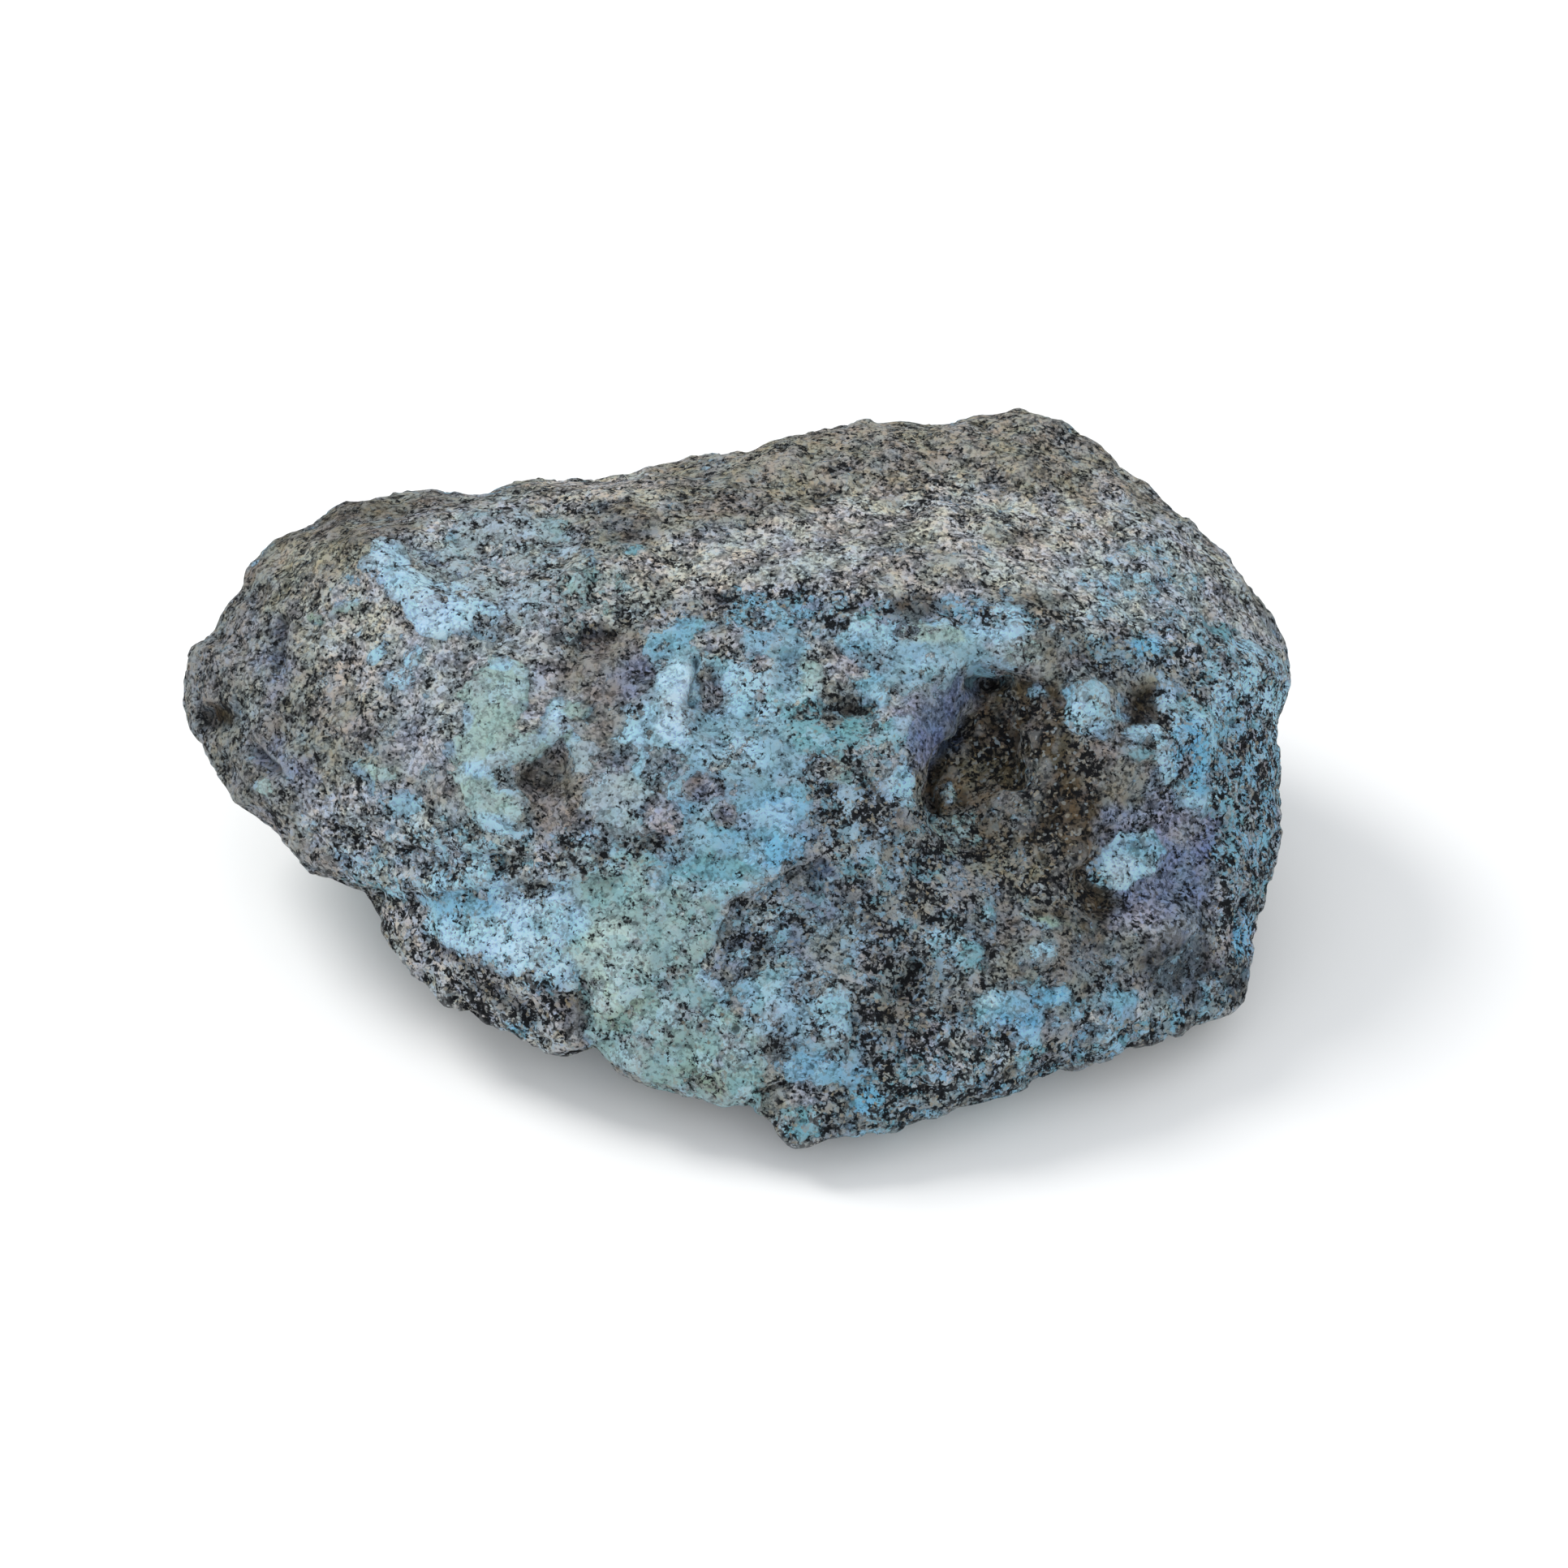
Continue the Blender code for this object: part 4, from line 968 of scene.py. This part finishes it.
class Maker:
    """Adds nodes to a material, one call each."""

    def __init__(self, name):
        self.material = bpy.data.materials.new(name)
        self.material.use_nodes = True
        self.tree = self.material.node_tree
        self.shader = self.tree.nodes["Principled BSDF"]

    def node(self, kind, inputs=(), **settings):
        """A node of this kind with its settings, its inputs fed."""
        node = self.tree.nodes.new(kind)
        for key, value in settings.items():
            setattr(node, key, value)
        for key, value in dict(inputs).items():
            self.feed(node.inputs[key], value)
        return node

    def feed(self, socket, value):
        """Links an output to a socket, or sets the socket's own value."""
        if isinstance(value, bpy.types.NodeSocket):
            self.tree.links.new(value, socket)
        else:
            socket.default_value = value

    def math(self, operation, first, second=0.0, third=0.0):
        inputs = {0: first, 1: second, 2: third}
        return self.node("ShaderNodeMath", inputs, operation=operation).outputs[0]

    def product(self, first, *others):
        for other in others:
            first = self.math("MULTIPLY", first, other)
        return first

    def total(self, first, *others):
        for other in others:
            first = self.math("ADD", first, other)
        return first

    def less(self, first, second):
        return self.math("SUBTRACT", first, second)

    def span(self, value, low, high, to_low=0.0, to_high=1.0, kind="SMOOTHSTEP"):
        """Goes smoothly from one value at low to another at high, and stays there past them."""
        inputs = {"Value": value, "From Min": low, "From Max": high, "To Min": to_low, "To Max": to_high}
        return self.node("ShaderNodeMapRange", inputs, interpolation_type=kind).outputs["Result"]

    def slope(self, value, low, high, to_low, to_high):
        """Goes straight from one value at low to another at high, and stays there past them."""
        return self.span(value, low, high, to_low, to_high, kind="LINEAR")

    def stretch(self, number, to_low, to_high):
        """A random number from 0 to 1, stretched between two values."""
        return self.slope(number, 0.0, 1.0, to_low, to_high)

    def contrast(self, tone, strength, middle):
        """A tone with its distance from 1 made larger or smaller, and laid about another middle."""
        return self.math("MULTIPLY_ADD", self.less(tone, 1.0), strength, middle)

    def mix(self, share, first, second, blend="MIX"):
        node = self.node("ShaderNodeMix", data_type="RGBA", blend_type=blend)
        self.feed(node.inputs["Factor"], share)
        self.feed(node.inputs[6], first)
        self.feed(node.inputs[7], second)
        return node.outputs[2]

    def tinted(self, colour, tint):
        return self.mix(1.0, colour, tint, "MULTIPLY")

    def shaded(self, colour, tone):
        """A colour made darker or brighter by a number."""
        grey = self.node("ShaderNodeCombineColor", {0: tone, 1: tone, 2: tone}).outputs[0]
        return self.tinted(colour, grey)

    def number(self, name):
        return self.node("ShaderNodeAttribute", attribute_name=name).outputs["Fac"]

    def colour(self, name):
        return self.node("ShaderNodeAttribute", attribute_name=name).outputs["Color"]

    def shade_of(self, name):
        return (*linear(COLOURS[name]), 1)

    def noise(self, place, size, detail, rough=0.5):
        inputs = {"Vector": place, "Scale": 1 / size, "Detail": detail, "Roughness": rough}
        return self.node("ShaderNodeTexNoise", inputs).outputs["Fac"]

    def sway(self, place, size):
        """Three noises that bend a place, for bend."""
        inputs = {"Vector": place, "Scale": 1 / size, "Detail": 1.0}
        return self.node("ShaderNodeTexNoise", inputs).outputs["Color"]

    def bend(self, place, sway, far):
        inputs = {0: sway, 1: (far, far, far), 2: place}
        return self.node("ShaderNodeVectorMath", inputs, operation="MULTIPLY_ADD").outputs[0]

    def grains(self, place, size):
        """Grains of about this size: how far from the middle of one, and three random numbers for each."""
        inputs = {"Vector": place, "Scale": 1 / size, "Randomness": 1.0}
        cell = self.node("ShaderNodeTexVoronoi", inputs)
        split = self.node("ShaderNodeSeparateColor", {"Color": cell.outputs["Color"]})
        return {
            "far": cell.outputs["Distance"],
            "shade": split.outputs[0],
            "kind": split.outputs[1],
            "kind_too": split.outputs[2],
        }

    def crease(self, place, size, detail, width):
        """Thin winding creases between soft swellings: 1 in a crease, 0 away from it."""
        off = self.math("ABSOLUTE", self.less(self.noise(place, size, detail), 0.5))
        return self.slope(off, 0.0, width, 1.0, 0.0)


def stone_material():
    """Granular rock with turquoise crusts: grains, the dark gaps between them with painted shade, painted
    shade and dirt in hollows, a painted shadow along the crusts, painted glints and worn edges.
    """
    maker = Maker("turquoise_in_rock")
    place = maker.node("ShaderNodeTexCoord").outputs["Object"]
    place = maker.node("ShaderNodeMapping", {"Vector": place, "Scale": GRAIN_SQUASH}).outputs[0]
    grit = maker.number("grit")
    field = maker.number("crust")

    # noises and grains of the rock, from its finest crumb to its stains
    dust = maker.noise(place, DUST, detail=4, rough=0.8)
    speck = maker.noise(place, SPECK, detail=3, rough=0.6)
    blotch = maker.noise(place, BLOTCH, detail=3, rough=0.65)
    mottle = maker.noise(place, MOTTLE, detail=4, rough=0.6)
    stain = maker.noise(place, STAIN, detail=4, rough=0.6)
    sway = maker.sway(place, FINE_SWAY)
    crumbs = maker.grains(maker.bend(place, sway, CRUMB_BEND), CRUMB)
    grains = maker.grains(maker.bend(place, sway, GRAIN_BEND), GRAIN)
    flakes = maker.grains(maker.bend(place, maker.sway(place, WIDE_SWAY), FLAKE_BEND), FLAKE)
    pebble = maker.slope(grains["far"], 0.15, 0.75, 1.0, 0.0)
    warmth = maker.span(maker.noise(place, WARMTH, detail=3, rough=0.65), 0.34, 0.66)
    moss = maker.span(maker.noise(place, MOSS, detail=3, rough=0.65), 0.36, 0.64)
    hue = maker.tinted(maker.mix(warmth, COOL, WARM), maker.mix(moss, ROSY, MOSSY))

    # how deep each place lies among the grains: gaps are deep, the backs of the grains are not
    crease = maker.crease(maker.bend(place, sway, CREASE_BEND), CREASE, detail=2.0, width=0.1)
    hollow = maker.total(
        maker.product(maker.less(0.5, dust), 4.6),
        maker.product(maker.less(0.5, speck), 2.6),
        maker.product(maker.less(crease, 0.45), 0.85),
        maker.product(pebble, -0.5),
        maker.product(grains["kind"], 0.5),
    )

    # the rock, each grain with a tone of its own, darker where it lies deep among the grains: partly painted
    # shade
    rock = maker.colour("rock_colour")
    rock = maker.mix(maker.span(stain, 0.52, 0.70, 0, 0.22), rock, maker.shade_of("brown"))
    rock = maker.mix(maker.span(stain, 0.46, 0.30, 0, 0.25), rock, maker.shade_of("lilac grey"))
    rock = maker.tinted(rock, hue)
    grain_hue = maker.mix(grains["kind_too"], COOL_GRAIN, WARM_GRAIN)
    rock = maker.mix(maker.span(grit, 0.0, 1.0, 0.3, 1.0), rock, maker.tinted(rock, grain_hue))
    strength = maker.slope(grit, 0.0, 1.3, 0.78, 1.6)
    tone = maker.product(
        maker.stretch(grains["shade"], 0.66, 1.5),
        maker.stretch(crumbs["shade"], 0.45, 1.75),
        maker.slope(hollow, -1.2, 1.2, 1.72, 0.38),
        maker.stretch(flakes["shade"], 0.78, 1.28),
        maker.slope(blotch, 0.36, 0.64, 0.7, 1.36),
        maker.slope(mottle, 0.36, 0.64, 0.72, 1.34),
    )
    rock = maker.shaded(rock, maker.math("MINIMUM", maker.contrast(tone, strength, 1.0), 2.2))

    # the crust, chalky and mottled, darker where it lies deep among the grains: partly painted shade
    tone = maker.product(
        maker.slope(blotch, 0.36, 0.64, 0.82, 1.2),
        maker.slope(mottle, 0.36, 0.64, 0.84, 1.18),
        maker.stretch(crumbs["shade"], 0.54, 1.5),
        maker.slope(hollow, -1.2, 1.2, 1.45, 0.58),
        maker.stretch(grains["shade"], 0.86, 1.18),
        maker.stretch(flakes["shade"], 0.86, 1.18),
    )
    crust = maker.colour("crust_colour")
    crust = maker.mix(maker.span(flakes["kind"], 0.6, 0.9, 0, 0.35), crust, maker.shade_of("ice"))
    greener = maker.product(maker.span(flakes["kind"], 0.35, 0.1, 0, 0.6), grit)
    crust = maker.mix(greener, crust, maker.shade_of("teal"))
    thinner = maker.product(maker.span(mottle, 0.46, 0.35, 0, 0.9), grit)
    crust = maker.mix(thinner, crust, maker.shade_of("lilac grey"))
    crust = maker.mix(0.6, crust, maker.tinted(crust, hue))
    crust = maker.shaded(crust, maker.math("MINIMUM", maker.contrast(tone, strength, 1.1), 1.4))

    # where the crust lies, ragged at its edges, with its dust on the rock about it and a painted shadow
    # along its edge
    ragged = maker.total(
        field,
        maker.stretch(flakes["kind_too"], -0.08, 0.08),
        maker.slope(blotch, 0.3, 0.7, -0.2, 0.2),
        maker.slope(speck, 0.3, 0.7, -0.2, 0.2),
        maker.product(maker.less(grains["kind"], 0.5), maker.stretch(grit, 0.06, 0.5)),
    )
    cover = maker.span(ragged, 0.48, 0.52)
    rock = maker.mix(maker.span(field, -0.1, 0.4, 0, 0.25), rock, crust)
    # painted shadow on the rock just outside the crust's edge
    rock = maker.mix(maker.span(ragged, 0.40, 0.47, 0, 0.6), rock, CRUST_EDGE_SHADOW)
    thick = maker.span(field, 0.4, 0.9, 0.78, 1.0)
    colour = maker.mix(maker.product(cover, thick), rock, crust)

    # black gaps and pits, gathered in clusters, many where the ground is gritty: partly black specks of the
    # rock, partly painted shade where the grains lie deep
    cluster = maker.total(
        maker.slope(mottle, 0.64, 0.36, -0.55, 0.55),
        maker.slope(blotch, 0.64, 0.36, -0.5, 0.5),
    )
    depth = maker.total(
        hollow,
        maker.product(cluster, maker.stretch(grit, 0.4, 1.0)),
        maker.slope(grit, 0.0, 1.3, -1.0, 0.0),
        maker.product(maker.span(field, 0.45, 1.0), -0.4),
        maker.stretch(crumbs["kind"], -0.45, 0.4),
    )
    black = maker.span(depth, -0.04, 0.03)
    colour = maker.mix(maker.product(black, 0.96), colour, GAP_BLACK_AND_SHADE)
    # painted glints: pale specks on a few crumbs, most where the ground is gritty
    painted_glint = maker.span(crumbs["kind_too"], 0.88, 0.92)
    painted_glint = maker.product(painted_glint, maker.span(grit, 0.3, 1.1, 0.1, 0.75))
    colour = maker.mix(painted_glint, colour, maker.mix(grains["kind"], WARM_PAINTED_GLINT, COOL_PAINTED_GLINT))

    # painted shade, with some dirt, in what lies deep; wear on what stands out
    sunk = maker.total(
        maker.product(maker.number("sunk_near"), 4.0),
        maker.product(maker.number("sunk_wide"), 1.2),
        maker.product(hollow, 0.15),
    )
    # darker where the mesh lies deep: painted shade with some dirt
    colour = maker.mix(maker.span(sunk, 0.15, 1.2, 0, 0.5), colour, DIRT_AND_HOLLOW_SHADE)
    colour = maker.mix(maker.span(sunk, -0.2, -0.9, 0, 0.25), colour, WORN)
    maker.feed(maker.shader.inputs["Base Color"], maker.shaded(colour, STONE_SHADE))
    maker.feed(maker.shader.inputs["Roughness"], maker.stretch(grains["shade"], 0.62, 0.9))
    maker.shader.inputs["Specular IOR Level"].default_value = 0.08

    height = maker.total(
        maker.product(flakes["shade"], 0.5),
        maker.product(hollow, -0.62),
        maker.product(blotch, 2.8),
        maker.product(cover, 0.7),
    )
    bump = maker.node("ShaderNodeBump", {"Strength": 1.0, "Distance": BUMP, "Height": height})
    maker.feed(maker.shader.inputs["Normal"], bump.outputs["Normal"])
    return maker.material


class NUGGET_OT_stone(bpy.types.Operator):
    """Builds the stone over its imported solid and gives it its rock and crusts"""

    bl_idname = "nugget.stone"
    bl_label = "Build the stone"

    def execute(self, context):
        shape = context.scene.nugget_shape
        piece = copy_solid("stone", "turquoise_nugget")
        round_off = piece.modifiers.new("round off", "SUBSURF")
        round_off.levels = round_off.render_levels = 2
        net = piece.modifiers.new("net", "REMESH")
        net.mode = "VOXEL"
        net.voxel_size = shape.net
        apply_modifiers(piece)
        carve(piece, shape)
        thin = piece.modifiers.new("thin", "DECIMATE")
        triangles = sum(len(face.vertices) - 2 for face in piece.data.polygons)
        thin.ratio = min(1.0, shape.triangles / triangles)
        apply_modifiers(piece)
        colour_attributes(piece)
        choose(piece)
        bpy.ops.object.shade_smooth()
        piece.data.materials.append(stone_material())
        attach(piece, "root")
        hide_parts("stone")
        return {"FINISHED"}


class NUGGET_OT_stage(bpy.types.Operator):
    """Sets the pale floor, the soft lights and the camera"""

    bl_idname = "nugget.stage"
    bl_label = "Set the stage"

    def execute(self, context):
        stage = context.scene.nugget_stage
        deselect()
        bpy.ops.mesh.primitive_plane_add(size=stage.floor)
        floor = context.object
        floor.name = "floor"
        paper = Maker("pale_paper")
        paper.shader.inputs["Base Color"].default_value = (*stage.paper, 1)
        paper.shader.inputs["Roughness"].default_value = 0.9
        floor.data.materials.append(paper.material)
        floor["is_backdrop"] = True
        self.add_light("window", (-0.42, 0.25, 0.55), size=0.3, power=3.0, colour=(1.0, 0.985, 0.96))
        self.add_light("sky", (0.2, -0.65, 0.4), size=0.8, power=1.6, colour=(0.92, 0.96, 1.0))
        self.add_world(context)
        self.add_camera(context)
        return {"FINISHED"}

    def add_light(self, name, place, size, power, colour):
        deselect()
        bpy.ops.object.light_add(type="AREA", location=place)
        light = bpy.context.object
        light.name = name
        light.data.shape = "DISK"
        light.data.size = size
        light.data.energy = power
        light.data.color = colour
        light.rotation_mode = "QUATERNION"
        light.rotation_quaternion = (Vector(LIT_PLACE) - Vector(place)).to_track_quat("-Z", "Y")

    def add_world(self, context):
        world = bpy.data.worlds.new("studio")
        world.use_nodes = True
        back = world.node_tree.nodes["Background"]
        back.inputs["Color"].default_value = (0.96, 0.98, 1.0, 1)
        back.inputs["Strength"].default_value = 0.85
        context.scene.world = world
        context.scene.view_settings.view_transform = "Standard"

    def add_camera(self, context):
        deselect()
        aim = EYE_AIM * MM
        bpy.ops.object.camera_add(location=aim + TOWARD * EYE_DISTANCE * MM)
        camera = context.object
        camera.rotation_mode = "QUATERNION"
        camera.rotation_quaternion = Vector(-TOWARD).to_track_quat("-Z", "Y")
        camera.data.sensor_width = SENSOR
        camera.data.lens = SENSOR * EYE_DISTANCE / ELEMENT / PICTURE
        camera.data.clip_start = 0.01
        context.scene.camera = camera


class NUGGET_PT_panel(bpy.types.Panel):
    """Lists the steps that build the nugget"""

    bl_label = "Nugget"
    bl_idname = "NUGGET_PT_panel"
    bl_space_type = "VIEW_3D"
    bl_region_type = "UI"
    bl_category = "Nugget"

    def draw(self, context):
        for group in (context.scene.nugget_shape, context.scene.nugget_stage):
            for name in group.bl_rna.properties.keys():
                if name not in ("rna_type", "name"):
                    self.layout.prop(group, name)
        self.layout.operator("nugget.stone")
        self.layout.operator("nugget.stage")


CLASSES = (NuggetShape, StageShape, NUGGET_OT_stone, NUGGET_OT_stage, NUGGET_PT_panel)


def register():
    for each in CLASSES:
        bpy.utils.register_class(each)
    bpy.types.Scene.nugget_shape = bpy.props.PointerProperty(type=NuggetShape)
    bpy.types.Scene.nugget_stage = bpy.props.PointerProperty(type=StageShape)


def unregister():
    del bpy.types.Scene.nugget_stage
    del bpy.types.Scene.nugget_shape
    for each in reversed(CLASSES):
        bpy.utils.unregister_class(each)


def corners():
    """The shown object's lowest and highest corner as plain lists."""
    return [list(corner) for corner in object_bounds()]


def main():
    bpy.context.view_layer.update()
    register()
    bpy.ops.nugget.stone()
    bpy.ops.nugget.stage()
    bpy.context.view_layer.update()


if __name__ == "__main__":
    main()
